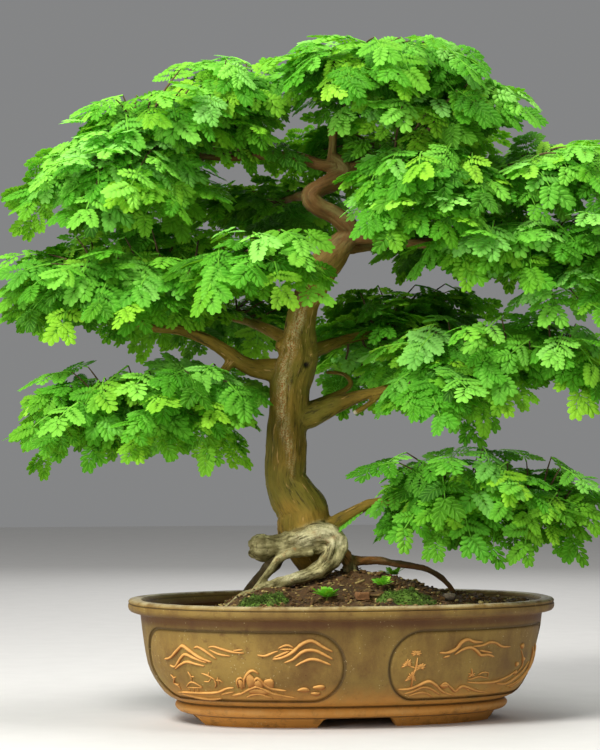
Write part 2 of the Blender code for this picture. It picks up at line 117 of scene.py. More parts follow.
DROOPING_LEFT = [
    (-135, -12, 450, 7), (-150, -22, 430, 6), (-178, -30, 405, 5.5), (-225, -35, 385, 4.5),
    (-290, -35, 378, 3)]
MIDDLE_RIGHT = [
    (-62, 0, 370, 18), (-30, 0, 382, 15), (-2, -2, 394, 11), (16, -5, 401, 8.5), (32, -8, 405, 7),
    (54, -10, 410, 6.3), (85, -15, 417, 5.5), (122, -20, 422, 5), (172, -25, 428, 4.5), (222, -25, 434, 4),
    (280, -20, 440, 3)]
LOWER_RIGHT = [
    (-24, -15, 232, 14), (-9, -15, 244, 10), (10, -15, 256, 7.5), (25, -15, 264, 6.5), (38, -15, 269, 6),
    (72, -15, 272, 5.5), (122, -15, 270, 5), (172, -20, 266, 4.5), (222, -20, 262, 4), (285, -20, 256, 3)]
BACK_UPPER = [(-38, 0, 649, 9), (-48, 25, 655, 7), (-65, 70, 655, 5), (-90, 120, 652, 4)]
BACK_CROWN = [(3, 0, 684, 7), (12, 30, 697, 6), (35, 75, 715, 5), (60, 130, 730, 3.5)]
BACK_RIGHT = [(-4, 0, 586, 9), (30, 30, 592, 7), (90, 80, 600, 5), (160, 130, 610, 4)]
BACK_LOWER = [(-56, 0, 448, 13), (-30, 35, 462, 9), (15, 80, 478, 6), (70, 125, 488, 4)]
BACK_LEFT = [(-55, 0, 462, 12), (-80, 40, 480, 8), (-115, 90, 498, 6), (-150, 135, 508, 4)]
RIGHT_SHOULDER = [
    (6, 0, 600, 9), (45, -10, 598, 7), (110, -15, 590, 5.5), (180, -15, 584, 4.5), (255, -10, 578, 3.5)]
ROOT_MASS = [
    (-115, -24, 214, 7), (-111, -24, 214, 13), (-101, -24, 214, 16.5), (-87, -24, 215, 14),
    (-72, -23, 217, 12.5), (-56, -22, 221, 17), (-32, -20, 228, 20), (-12, -20, 222, 15),
    (-14, -24, 204, 13), (-25, -30, 190, 11), (-40, -36, 182, 8.5), (-65, -46, 175, 7.5), (-96, -58, 166, 7),
    (-124, -70, 154, 6.5), (-142, -78, 140, 6)]
ROOT_LOOP = [
    (-36, -34, 209, 5), (-65, -36, 206, 4.5), (-80, -38, 200, 4.5), (-88, -42, 189, 4.5),
    (-98, -48, 177, 4.5), (-112, -54, 158, 4.5), (-122, -58, 140, 4)]
RIGHT_ROOT = [
    (-12, -14, 216, 10), (2, -6, 204, 8), (10, 0, 196, 8), (41, 6, 197, 5), (72, 10, 192, 4.5),
    (109, 14, 184, 4), (135, 18, 165, 3.5), (148, 22, 140, 3.5)]
STUMP = [(10, 0, 199, 8), (11, 0, 180, 8), (18, 2, 160, 7), (28, 4, 135, 7)]
BACK_ROOT_LEFT = [(-58, 12, 224, 15), (-84, 40, 196, 10), (-112, 66, 160, 7.5), (-130, 84, 136, 6)]
BACK_ROOT = [(-46, 14, 222, 15), (-34, 52, 196, 10), (-24, 84, 166, 8), (-18, 108, 140, 6)]
KNOB_LEFT = [(-70, -2, 464, 13), (-82, -4, 468, 7)]
KNOB_RIGHT = [(-48, -2, 456, 19), (-35, -3, 458, 13)]
CUT_STUB = [(48, -11, 404, 4), (30, -16, 390, 3.6), (14, -20, 381, 3.2)]
CURLED_TWIG = [
    (-50, 10, 388, 6), (-18, 24, 400, 4.5), (4, 36, 410, 4), (12, 42, 420, 3.4), (2, 46, 431, 3),
    (-20, 48, 433, 2.6)]
FORK_STUB = [(-40, 0, 548, 13), (-55, -4, 563, 10), (-62, -5, 571, 8)]
BROKEN_TOP = [(5, 0, 680, 10), (18, -4, 690, 6.5), (34, -6, 697, 5)]


class Slot(Enum):
    """The record's material slots."""

    CLAY = "clay"
    RELIEF = "relief_clay"
    SOIL = "soil"
    BARK = "bark"
    LEAVES = "leaves"
    MOSS = "moss"
    WEED = "weed_leaves"
    STONE = "stone"
    PLASTIC = "mesh_plastic"


class Tissue(Enum):
    """Which kind of bark a route of wood carries."""

    TRUNK = "trunk"
    BRANCH = "branch"
    ROOT = "root"
    RUSTY_ROOT = "rusty root"


BRANCHES = (LEADER, UPPER_LEFT, UPPER_RIGHT, BROKEN_TOP, MIDDLE_LEFT, LOWER_LEFT, DROOPING_LEFT,
            MIDDLE_RIGHT, LOWER_RIGHT, BACK_UPPER, BACK_CROWN, BACK_RIGHT, BACK_LOWER, BACK_LEFT,
            RIGHT_SHOULDER, CUT_STUB, CURLED_TWIG)
LIMBS: tuple[tuple[Tissue, tuple[Rows, ...]], ...] = (
    (Tissue.TRUNK, (TRUNK, KNOB_LEFT, KNOB_RIGHT, FORK_STUB)),
    (Tissue.BRANCH, BRANCHES),
    (Tissue.ROOT, (ROOT_MASS, ROOT_LOOP, STUMP)),
    (Tissue.RUSTY_ROOT, (RIGHT_ROOT,)),
    (Tissue.ROOT, (BACK_ROOT_LEFT, BACK_ROOT)),
)


# ---------------------------------------------------------------- shader and geometry trees


class Wire:
    """An output of a shader node that takes part in sums like a number."""

    def __init__(self, shader: "Shader", socket: bpy.types.NodeSocket) -> None:
        """Keep the socket and the shader that it belongs to."""
        self.shader = shader
        self.socket = socket

    def sum(self, operation: str, *values: Any) -> "Wire":
        """Add a Math node."""
        node = self.shader.node("ShaderNodeMath", {"operation": operation}, dict(enumerate(values)))
        return Wire(self.shader, node.outputs[0])

    def __add__(self, other: Any) -> "Wire":
        """This plus other."""
        return self.sum("ADD", self, other)

    __radd__ = __add__

    def __sub__(self, other: Any) -> "Wire":
        """This minus other."""
        return self.sum("SUBTRACT", self, other)

    def __rsub__(self, other: Any) -> "Wire":
        """Other minus this."""
        return self.sum("SUBTRACT", other, self)

    def __mul__(self, other: Any) -> "Wire":
        """This times other."""
        return self.sum("MULTIPLY", self, other)

    __rmul__ = __mul__

    def __truediv__(self, other: Any) -> "Wire":
        """This divided by other."""
        return self.sum("DIVIDE", self, other)

    def __abs__(self) -> "Wire":
        """This without its sign."""
        return self.sum("ABSOLUTE", self)

    def floor(self) -> "Wire":
        """The whole number below this."""
        return self.sum("FLOOR", self)

    def ramp(self, low: float, high: float) -> "Wire":
        """A smooth step from this wire."""
        settings = {"interpolation_type": "SMOOTHSTEP"}
        node = self.shader.node("ShaderNodeMapRange", settings, {0: self, 1: low, 2: high})
        return Wire(self.shader, node.outputs[0])


def add_node(tree: bpy.types.NodeTree, kind: str, settings: Inputs, inputs: Inputs) -> bpy.types.Node:
    """Add one node to a shader or geometry tree.

    Args:
        tree: The tree.
        kind: The node's type.
        settings: Its properties, set before its sockets.
        inputs: Values, wires or other nodes' sockets for its own, by name or place.

    Returns:
        The node.
    """
    made = tree.nodes.new(kind)
    for key, value in (settings or {}).items():
        setattr(made, key, value)
    for key, value in (inputs or {}).items():
        socket = made.inputs[key]
        value = value.socket if isinstance(value, Wire) else value
        if isinstance(value, bpy.types.NodeSocket):
            tree.links.new(value, socket)
        else:
            opaque = socket.type == "RGBA" and len(value) == 3
            socket.default_value = (*value, 1.0) if opaque else value
    return made


class Shader:
    """The node tree of one material."""

    def __init__(self, name: str) -> None:
        """Start an empty material of that name."""
        self.material = bpy.data.materials.new(name)
        self.material.use_nodes = True
        self.tree = self.material.node_tree
        self.tree.nodes.clear()

    def node(self, kind: str, settings: Inputs = None, inputs: Inputs = None) -> bpy.types.Node:
        """Add one node, with its properties and the values or wires of its sockets."""
        return add_node(self.tree, kind, settings, inputs)

    def place(self) -> bpy.types.NodeSocket:
        """The point in the object's own coordinates, in metres."""
        return self.node("ShaderNodeTexCoord").outputs["Object"]

    def axes(self, vector: bpy.types.NodeSocket) -> tuple["Wire", "Wire", "Wire"]:
        """Split a vector."""
        split = self.node("ShaderNodeSeparateXYZ", None, {0: vector})
        return tuple(Wire(self, output) for output in split.outputs)

    def grain(self, scale: float, detail: float = 3.0, roughness: float = 0.55,
              stretch: Colour = (1.0, 1.0, 1.0), shift: float = 0.0) -> Wire:
        """Noise over the object.

        Args:
            scale: Spots to the metre.
            detail: Octaves.
            roughness: How strong the finer octaves are.
            stretch: The scale along each axis.
            shift: A move that gives another pattern.

        Returns:
            The noise, from 0 to 1.
        """
        inputs = {"Vector": self.place(), "Location": (shift,) * 3, "Scale": stretch}
        moved = self.node("ShaderNodeMapping", None, inputs)
        values = {"Vector": moved.outputs[0], "Scale": scale, "Detail": detail, "Roughness": roughness}
        return Wire(self, self.node("ShaderNodeTexNoise", None, values).outputs["Fac"])

    def cells(self, scale: float) -> Wire:
        """The distance to the middle of the nearest of this many cells to the metre."""
        values = {"Vector": self.place(), "Scale": scale}
        return Wire(self, self.node("ShaderNodeTexVoronoi", None, values).outputs["Distance"])

    def attribute(self, name: str) -> Wire:
        """A number stored on the mesh under that name."""
        made = self.node("ShaderNodeAttribute", {"attribute_name": name})
        return Wire(self, made.outputs["Fac"])

    def blend(self, share: Any, first: Any, second: Any, mode: str = "MIX") -> bpy.types.NodeSocket:
        """Mix two colours."""
        settings = {"data_type": "RGBA", "blend_type": mode}
        return self.node("ShaderNodeMix", settings, {0: share, 6: first, 7: second}).outputs[2]

    def bump(self, height: Wire, depth: float, strength: float = 1.0) -> bpy.types.NodeSocket:
        """Turn a height into a normal."""
        values = {"Height": height, "Distance": depth, "Strength": strength}
        return self.node("ShaderNodeBump", None, values).outputs[0]

    def coats(self, base: Any, *layers: tuple[Any, Any]) -> bpy.types.NodeSocket:
        """Lay colours over one another.

        Args:
            base: The lowest colour.
            *layers: How much each coat covers, and its colour.

        Returns:
            The finished colour's socket.
        """
        for share, colour in layers:
            base = self.blend(share, base, colour)
        return base

    def surface(self, base: bpy.types.NodeSocket, rough: Any, normal: bpy.types.NodeSocket | None,
                shine: float = 0.5, through: Colour | None = None) -> bpy.types.Material:
        """Close the tree with one principled surface.

        Args:
            base: Its colour.
            rough: Its roughness, as a wire or a number.
            normal: Its normal, if it has a relief.
            shine: Its specular level.
            through: The colour of light that comes through, for thin leaves.

        Returns:
            The finished material.
        """
        inputs = {"Base Color": base, "Roughness": rough, "Specular IOR Level": shine}
        if normal is not None:
            inputs["Normal"] = normal
        result = self.node("ShaderNodeBsdfPrincipled", None, inputs).outputs[0]
        if through is not None:
            passed = self.node("ShaderNodeBsdfTranslucent", None, {"Color": through}).outputs[0]
            result = self.node("ShaderNodeMixShader", None, {0: THROUGH, 1: result, 2: passed}).outputs[0]
        self.node("ShaderNodeOutputMaterial", None, {0: result})
        return self.material


class Graph:
    """A geometry tree with named inputs, run once on a mesh and then removed."""

    def __init__(self, name: str, sockets: dict[str, str]) -> None:
        """Start a tree.

        Args:
            name: The tree's name.
            sockets: Its inputs besides the geometry, as name: socket type.
        """
        self.tree = bpy.data.node_groups.new(name, "GeometryNodeTree")
        face = self.tree.interface
        face.new_socket("Geometry", in_out="INPUT", socket_type="NodeSocketGeometry")
        for key, kind in sockets.items():
            face.new_socket(key, in_out="INPUT", socket_type=kind)
        face.new_socket("Geometry", in_out="OUTPUT", socket_type="NodeSocketGeometry")
        self.source = self.tree.nodes.new("NodeGroupInput")
        self.end = self.tree.nodes.new("NodeGroupOutput")

    def node(self, kind: str, settings: Inputs = None, inputs: Inputs = None) -> bpy.types.NodeSocket:
        """Add one node, and give its first output."""
        return add_node(self.tree, kind, settings, inputs).outputs[0]

    def named(self, name: str, kind: str) -> bpy.types.NodeSocket:
        """Read an attribute."""
        return self.node("GeometryNodeInputNamedAttribute", {"data_type": kind}, {0: name})

    def close(self, geometry: bpy.types.NodeSocket) -> None:
        """Finish the tree with that geometry, realised and given the Material input.

        Args:
            geometry: The last geometry socket.
        """
        real = self.node("GeometryNodeRealizeInstances", None, {0: geometry})
        material = self.source.outputs["Material"]
        dressed = self.node("GeometryNodeSetMaterial", None, {"Geometry": real, "Material": material})
        self.tree.links.new(dressed, self.end.inputs[0])

    def apply(self, obj: bpy.types.Object, values: dict[str, Any]) -> None:
        """Run the tree on an object and keep the plain mesh that it makes.

        Args:
            obj: The mesh object that carries the points or paths.
            values: The tree's inputs, by name.
        """
        modifier = obj.modifiers.new("made", "NODES")
        modifier.node_group = self.tree
        ids = {item.name: item.identifier for item in self.tree.interface.items_tree
               if item.in_out == "INPUT"}
        for key, value in values.items():
            modifier[ids[key]] = value
        keep_result(obj)


def scatter_graph(leaves: bool = False) -> Graph:
    """Build the tree that sets one of a collection's shapes on each point.

    Args:
        leaves: Whether each shape's UV map moves to the cell of its tone and shade.

    Returns:
        A tree that reads the point attributes kind, turn and size, and tone and shade for leaves.
    """
    sockets = {"Shapes": "NodeSocketCollection", "Material": "NodeSocketMaterial"}
    graph = Graph("leaves" if leaves else "scatter", sockets)
    shapes = graph.node("GeometryNodeCollectionInfo", None, {
        "Collection": graph.source.outputs["Shapes"], "Separate Children": True,
        "Reset Children": True})
    turn = graph.node("FunctionNodeEulerToRotation", None, {0: graph.named("turn", "FLOAT_VECTOR")})
    placed = graph.node("GeometryNodeInstanceOnPoints", None, {
        "Points": graph.source.outputs["Geometry"], "Instance": shapes, "Pick Instance": True,
        "Instance Index": graph.named("kind", "INT"), "Rotation": turn,
        "Scale": graph.named("size", "FLOAT_VECTOR")})
    if leaves:
        real = graph.node("GeometryNodeRealizeInstances", None, {0: placed})
        moved = graph.node("ShaderNodeCombineXYZ", None, {0: graph.named("tone", "FLOAT"),
                                                          1: graph.named("shade", "FLOAT")})
        for operation, value in (("MULTIPLY", (CELLS - 0.001, CELLS - 0.001, 0)), ("FLOOR", None),
                                 ("ADD", graph.named("OFBake", "FLOAT_VECTOR")),
                                 ("MULTIPLY", (1 / CELLS, 1 / CELLS, 0))):
            inputs = {0: moved} if value is None else {0: moved, 1: value}
            moved = graph.node("ShaderNodeVectorMath", {"operation": operation}, inputs)
        placed = graph.node("GeometryNodeStoreNamedAttribute",
                            {"data_type": "FLOAT2", "domain": "CORNER"},
                            {"Geometry": real, "Name": "OFBake", "Value": moved})
    graph.close(placed)
    return graph


def tube_graph(sides: int) -> Graph:
    """Build the tree that turns edge paths into tubes.

    Args:
        sides: Sides of the tubes.

    Returns:
        A tree that reads the point attribute thick, in metres.
    """
    graph = Graph(f"tubes of {sides}", {"Material": "NodeSocketMaterial"})
    path = graph.node("GeometryNodeMeshToCurve", None, {0: graph.source.outputs["Geometry"]})
    ring = graph.node("GeometryNodeCurvePrimitiveCircle", None, {"Resolution": sides, "Radius": 1.0})
    tube = graph.node("GeometryNodeCurveToMesh", None, {
        "Curve": path, "Profile Curve": ring, "Scale": graph.named("thick", "FLOAT"),
        "Fill Caps": True})
    graph.close(tube)
    return graph


# ---------------------------------------------------------------- meshes


def keep_result(obj: bpy.types.Object) -> None:
    """Replace an object's mesh by the one its modifiers make, and drop them."""
    graph = bpy.context.evaluated_depsgraph_get()
    mesh = bpy.data.meshes.new_from_object(obj.evaluated_get(graph))
    obj.modifiers.clear()
    obj.data = mesh


def new_object(name: str, data: bpy.types.ID) -> bpy.types.Object:
    """Put a mesh, a lamp or a camera into the scene."""
    obj = bpy.data.objects.new(name, data)
    bpy.context.scene.collection.objects.link(obj)
    return obj


def plain_mesh(name: str, shape: bmesh.types.BMesh, material: bpy.types.Material | None = None,
               smooth: bool = True) -> bpy.types.Mesh:
    """Turn an editable shape into a mesh of one finish.

    Args:
        name: The mesh's name.
        shape: The shape, which is freed.
        material: Its finish.
        smooth: Whether its faces are shaded smooth.

    Returns:
        The mesh.
    """
    mesh = bpy.data.meshes.new(name)
    shape.to_mesh(mesh)
    shape.free()
    mesh.polygons.foreach_set("use_smooth", [smooth] * len(mesh.polygons))
    mesh.polygons.foreach_set("material_index", [0] * len(mesh.polygons))
    if material:
        mesh.materials.append(material)
    return mesh


def mesh_object(name: str, points: Sequence[Any], faces: Sequence[Sequence[int]],
                material: bpy.types.Material | None, closed: bool = True) -> bpy.types.Object:
    """Make a smooth mesh object with its faces turned outward.

    Args:
        name: The object's name.
        points: Corners in metres.
        faces: Corner numbers of each face.
        material: What it is dressed in.
        closed: Whether the faces close on themselves, so that outward has a meaning.

    Returns:
        The object, in the scene.
    """
    shape = bmesh.new()
    corners = [shape.verts.new(point) for point in points]
    for face in faces:
        shape.faces.new([corners[index] for index in face])
    if closed:
        bmesh.ops.recalc_face_normals(shape, faces=shape.faces)
    return new_object(name, plain_mesh(name, shape, material))


def rings_skin(rings: Sequence[Sequence[Any]],
               capped: bool = True) -> tuple[list[Any], list[list[int]]]:
    """Join rings of equal size by a skin.

    Args:
        rings: The rings, in order.
        capped: Whether the first and the last ring are filled; if not, they are joined.

    Returns:
        The points and the faces.
    """
    count, last = len(rings[0]), len(rings) - 1
    points = [point for ring in rings for point in ring]
    pairs = [(i, i + 1) for i in range(last)] + ([] if capped else [(last, 0)])
    faces = []
    for low, high in pairs:
        for i in range(count):
            j = (i + 1) % count
            faces.append([low * count + i, low * count + j, high * count + j, high * count + i])
    if capped:
        faces += [list(range(count)), [last * count + i for i in range(count)]]
    return points, faces


def combine(obj: bpy.types.Object, tool: bpy.types.Object, operation: str) -> None:
    """Join a tool to an object, or cut it away, and remove the tool.

    Args:
        obj: The object that changes.
        tool: The closed mesh to join or cut with.
        operation: The Boolean operation.
    """
    modifier = obj.modifiers.new("combine", "BOOLEAN")
    modifier.operation, modifier.solver, modifier.object = operation, "EXACT", tool
    modifier.material_mode = "TRANSFER"
    keep_result(obj)
    bpy.data.objects.remove(tool)


def merge(name: str, parts: Sequence[bpy.types.Object]) -> bpy.types.Object:
    """Put several objects into one mesh.

    Args:
        name: The new object's name.
        parts: The objects, which are removed. They share one material.

    Returns:
        The new object.
    """
    shape = bmesh.new()
    material = parts[0].data.materials[0]
    for part in parts:
        shape.from_mesh(part.data)
    mesh = plain_mesh(name, shape, material)
    for part in parts:
        bpy.data.objects.remove(part)
    return new_object(name, mesh)


def settle(obj: bpy.types.Object, slot: Slot, *nodes: str) -> None:
    """Fix a finished piece to the frame.

    Args:
        obj: The piece.
        slot: The material slot meant for its finish; not used.
        *nodes: The CAD nodes that it stands for.
    """
    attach(obj, "root")
    if nodes:
        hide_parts(*nodes)
    LOG.info("%s: %d faces for %s", obj.name, len(obj.data.polygons), ", ".join(nodes) or "itself")


def crease(obj: bpy.types.Object, degrees: float) -> None:
    """Shade smooth, with edges sharper than the angle kept sharp."""
    obj.data.polygons.foreach_set("use_smooth", [True] * len(obj.data.polygons))
    obj.data.set_sharp_from_angle(angle=math.radians(degrees))


def store(mesh: bpy.types.Mesh, name: str, values: Sequence[Any], kind: str = "FLOAT") -> None:
    """Store one value for each point of a mesh."""
    made = mesh.attributes.new(name, kind, "POINT")
    key = "vector" if kind == "FLOAT_VECTOR" else "value"
    made.data.foreach_set(key, np.array(values).ravel().tolist())


def box_parts(node: str) -> tuple[Vector, Vector]:
    """The middle of a CAD node's box and half its size."""
    low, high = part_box(node)
    return (low + high) / 2, (high - low) / 2


def smooth_path(rows: Rows, step: float) -> np.ndarray:
    """Resample a route along a smooth curve through its points.

    Args:
        rows: Points with any number of columns; the first ones, up to three, give the length.
        step: The spacing wanted.

    Returns:
        The rows of the finer route.
    """
    keys = np.array(rows, float)
    near = np.linalg.norm(np.diff(keys[:, :3], axis=0), axis=1)
    padded = np.vstack([2 * keys[0] - keys[1], keys, 2 * keys[-1] - keys[-2]])
    made = []
    for i, length in enumerate(near):
        before, start, end, after = padded[i:i + 4]
        for t in np.linspace(0, 1, max(2, round(length / step)), endpoint=False):
            tension = 0.5 * (end - before), 0.5 * (after - start)
            cube = (2 * t**3 - 3 * t**2 + 1) * start + (t**3 - 2 * t**2 + t) * tension[0]
            made.append(cube + (3 * t**2 - 2 * t**3) * end + (t**3 - t**2) * tension[1])
    return np.array(made + [keys[-1]])


def chain_object(name: str, paths: Sequence[np.ndarray]) -> bpy.types.Object:
    """Make an edge mesh of several paths, with their thickness stored.

    Args:
        name: The object's name.
        paths: Rows of (x, y, z, radius) in metres.

    Returns:
        The object.
    """
    points, edges, thick = [], [], []
    for path in paths:
        edges += [(len(points) + i, len(points) + i + 1) for i in range(len(path) - 1)]
        points += [tuple(row[:3]) for row in path]
        thick += [float(row[3]) for row in path]
    mesh = bpy.data.meshes.new(name)
    mesh.from_pydata(points, edges, [])
    store(mesh, "thick", thick)
    return new_object(name, mesh)


# ---------------------------------------------------------------- finishes


@dataclass(frozen=True)
class ClayFinish:
    """Unglazed clay, olive brown above and orange at the foot, with a rubbed rim and stains.

    The beyond and rise attributes give the place in the panels, in metres, so that painted shade
    can lie in the channel round each of them. Painted shade also darkens the grooves round the pot,
    the body under the lip and the inner wall, and a painted highlight lies along the band's crest.
    """

    name: str = "clay"
    olive: Colour = (0.245, 0.158, 0.034)
    brown: Colour = (0.125, 0.062, 0.012)
    orange: Colour = (0.560, 0.250, 0.045)
    rubbed: Colour = (0.500, 0.420, 0.230)
    # dark brown for stains and specks, and for painted shade under the lip and on the inner wall
    stain_and_shade: Colour = (0.085, 0.024, 0.004)
    groove_shade: Colour = (0.030, 0.018, 0.006)
    # the colour of the painted highlight on the band's crest
    edge: Colour = (0.60, 0.33, 0.10)
    half_panel: float = 0.04375
    lift: float = 1.0
    # Painted shade: dark lines in the grooves round the pot, as (height, half width, strength), in metres.
    rings: tuple[Colour, ...] = ((0.0262, 0.0026, 0.75), (0.1459, 0.0012, 0.6), (0.0125, 0.002, 0.6))

    def build(self) -> bpy.types.Material:
        """The material."""
        shader = Shader(self.name)
        height = shader.axes(shader.place())[2]
        patch = shader.grain(10, 5, 0.62)
        streak = shader.grain(40, 4, 0.65, (1, 1, 0.3), 3.0)
        blot = shader.grain(70, 4, 0.7, shift=8.0)
        fine = shader.grain(480, 3, 0.7, shift=1.7)
        foot = 1 - (height + (streak - 0.5) * 0.03).ramp(0.016, 0.060)
        crest = 1 - abs(height - 0.0205).ramp(0.001, 0.005)
        rim = height.ramp(0.1468, 0.1512) * (streak * 0.8 + blot * 0.4).ramp(0.42, 0.72)
        base = shader.coats(
            self.brown,
            ((patch * 0.75 + streak * 0.5 + fine * 0.15).ramp(0.48, 0.86), self.olive),
            (blot.ramp(0.55, 0.72) * 0.4, self.brown),
            ((patch * 0.5 + blot * 0.5).ramp(0.56, 0.7) * height.ramp(0.06, 0.12) * 0.6, self.stain_and_shade),
            (foot * 0.9, self.orange),
            (blot.ramp(0.5, 0.7) * foot * 0.5, self.brown),
            # painted shade in the channel round each panel
            (self.channel(shader) * (0.55 + streak * 0.5) * 0.8, self.groove_shade),
            # painted shade under the lip's overhang
            ((1 - abs(height - 0.1305).ramp(0.001, 0.012)) * 0.75, self.stain_and_shade),
            # painted shade in the grooves round the pot
            *(((1 - abs(height - level).ramp(0.0002, width)) * share, self.groove_shade)
              for level, width, share in self.rings),
            # painted highlight: a lighter stripe along the crest of the band
            (crest * streak.ramp(0.35, 0.6) * 0.45, self.edge),
            (rim * 0.85, self.rubbed),
            # painted shade on the inner wall above the soil
            (shader.attribute("inside") * 0.85, self.stain_and_shade),
            ((1 - shader.cells(210).ramp(0.08, 0.17)) * streak.ramp(0.46, 0.60) * 0.7, self.rubbed),
            ((1 - shader.cells(95).ramp(0.05, 0.12)) * blot.ramp(0.45, 0.6) * 0.7, self.stain_and_shade))
        base = shader.blend(fine.ramp(0.3, 0.75) * 0.45, base, (0.55, 0.5, 0.42), "SOFT_LIGHT")
        if self.lift != 1.0:
            base = shader.blend(1.0, base, (self.lift,) * 3, "MULTIPLY")
        relief = fine * 0.4 + streak * 0.5 + blot * 0.9 + shader.grain(150, 3, 0.6) * 0.5
        return shader.surface(base, 0.42 + patch * 0.25 + fine * 0.1,
                              shader.bump(relief, 0.0009, 0.8), 0.35)

    def channel(self, shader: Shader) -> Wire:
        """How deep in the channel round a panel each point lies.

        Args:
            shader: The shader.

        Returns:
            1 in the channel and 0 away from it; the finish paints shade there.
        """
        beyond, rise = shader.attribute("beyond"), shader.attribute("rise")
        along = beyond.sum("MAXIMUM", beyond, 0.0)
        squares = along * along + rise * rise
        edge = self.half_panel - squares.sum("SQRT", squares)
        return 1 - abs(edge - 0.0012).ramp(0.0006, 0.0036)


@dataclass(frozen=True)
class SlipFinish:
    """Orange slip, trailed in ridges, pale where it faces out and up as painted highlight and deep elsewhere
    as painted shade.
    """

    pale: Colour = (0.760, 0.400, 0.105)
    deep: Colour = (0.260, 0.085, 0.010)

    def build(self) -> bpy.types.Material:
        """The material."""
        shader = Shader("relief slip")
        patch = shader.grain(60, 3)
        fine = shader.grain(600, 3, 0.65, shift=2.0)
        # crest is painted light: pale on faces turned out and up, deep on the others
        tone = (patch * 0.5 + shader.attribute("crest") * 0.8 - 0.1).ramp(0.1, 0.9)
        base = shader.blend(tone, self.deep, self.pale)
        return shader.surface(base, 0.5 + fine * 0.15, shader.bump(fine + patch, 0.0004, 0.6), 0.3)


@dataclass(frozen=True)
class BarkFinish:
    """Olive bark with flaking strips, red upper wood and pale fibrous roots, with painted shade low on the
    roots and in a hollow and a painted highlight on the root crests.

    The grain attribute is each point's place in its own limb: two across, one along.
    """

    olive: Colour = (0.155, 0.100, 0.006)
    tan: Colour = (0.305, 0.190, 0.024)
    shade: Colour = (0.040, 0.030, 0.004)
    cream: Colour = (0.540, 0.490, 0.235)
    ash: Colour = (0.140, 0.120, 0.040)
    rust: Colour = (0.360, 0.130, 0.018)
    red: Colour = (0.095, 0.038, 0.008)
    green: Colour = (0.120, 0.150, 0.016)
    speckled: Colour = (0.50, 0.31, 0.10)
    root_highlight: Colour = (0.76, 0.71, 0.42)
    low_root_shade: Colour = (0.050, 0.024, 0.008)
    hollow: Colour = (0.012, 0.008, 0.004)
    cut: Colour = (0.62, 0.56, 0.40)

    def fibres(self, shader: Shader, scale: float, detail: float, shift: float) -> Wire:
        """Noise drawn out along each limb.

        Args:
            shader: The shader.
            scale: Spots to the metre across the limb.
            detail: Octaves.
            shift: A move that gives another pattern.

        Returns:
            The noise, from 0 to 1.
        """
        grain = shader.node("ShaderNodeAttribute", {"attribute_name": "grain"}).outputs["Vector"]
        moved = shader.node("ShaderNodeMapping", None, {"Vector": grain, "Location": (shift,) * 3})
        values = {"Vector": moved.outputs[0], "Scale": scale, "Detail": detail, "Roughness": 0.62}
        return Wire(shader, shader.node("ShaderNodeTexNoise", None, values).outputs["Fac"])

    def build(self) -> bpy.types.Material:
        """The material."""
        shader = Shader("bark")
        broad = shader.grain(24, 4, 0.6)
        long = self.fibres(shader, 130, 4, 0.0)
        thin = self.fibres(shader, 420, 3, 3.0)
        fine = shader.grain(560, 3, 0.7, shift=4.0)
        fleck = self.fibres(shader, 260, 2, 7.0)
        reddish = shader.blend((long * 0.6 + broad * 0.6).ramp(0.56, 0.78), self.red, self.ash)
        peel = shader.attribute("flake") * (long * 0.5 + fleck * 0.8).ramp(0.5, 0.72)
        bark = shader.coats(
            self.olive,
            ((broad * 0.55 + long * 0.6).ramp(0.42, 0.76), self.tan),
            (shader.grain(11, 3, 0.5, shift=6.0).ramp(0.5, 0.66) * 0.45, self.green),
            ((long * 0.5 + thin * 0.6).ramp(0.5, 0.38) * 0.85, self.shade),
            (fleck.ramp(0.63, 0.69) * 0.75, self.speckled),
            (shader.attribute("warm") * 0.85, reddish),
            (thin.ramp(0.48, 0.36) * 0.3, self.shade),
            (peel, shader.blend(fine.ramp(0.4, 0.6), self.rust, self.cream)))
        root = shader.coats(
            self.ash,
            ((broad * 0.8 + long * 0.5).ramp(0.52, 0.80), self.cream),
            ((long * 0.6 + thin * 0.5).ramp(0.54, 0.43) * 0.95, self.shade),
            (shader.grain(75, 5, 0.7, shift=11.0).ramp(0.47, 0.56) * 0.6, self.ash),
            (shader.grain(150, 3, 0.7, shift=15.0).ramp(0.56, 0.66) * 0.5, self.shade),
            (shader.grain(46, 3, 0.6, shift=9.0).ramp(0.57, 0.7) * 0.45, self.rust),
            # painted highlight on the root crests
            (shader.attribute("root_highlight") * (long * 0.9 + fine * 0.4).ramp(0.5, 0.78), self.root_highlight))
        bark = shader.coats(
            bark,
            (shader.attribute("pale"), root),
            (shader.attribute("rusty") * long.ramp(0.35, 0.55) * 0.85, self.rust),
            # painted shade on the roots low at the back, and darker below 150 mm
            (shader.attribute("low") * 0.75, self.low_root_shade),
            # painted shade: nearly black in the hollow
            (shader.attribute("hollow"), self.hollow),
            (shader.attribute("cut"), self.cut))
        knots = shader.grain(110, 4, 0.65, shift=13.0) * shader.attribute("pale") * 1.6
        relief = long * 0.8 + thin * 0.5 + fine * 0.25 + fleck * 0.3 + knots
        return shader.surface(bark, 0.66 + fine * 0.2, shader.bump(relief, 0.0016, 0.95), 0.3)


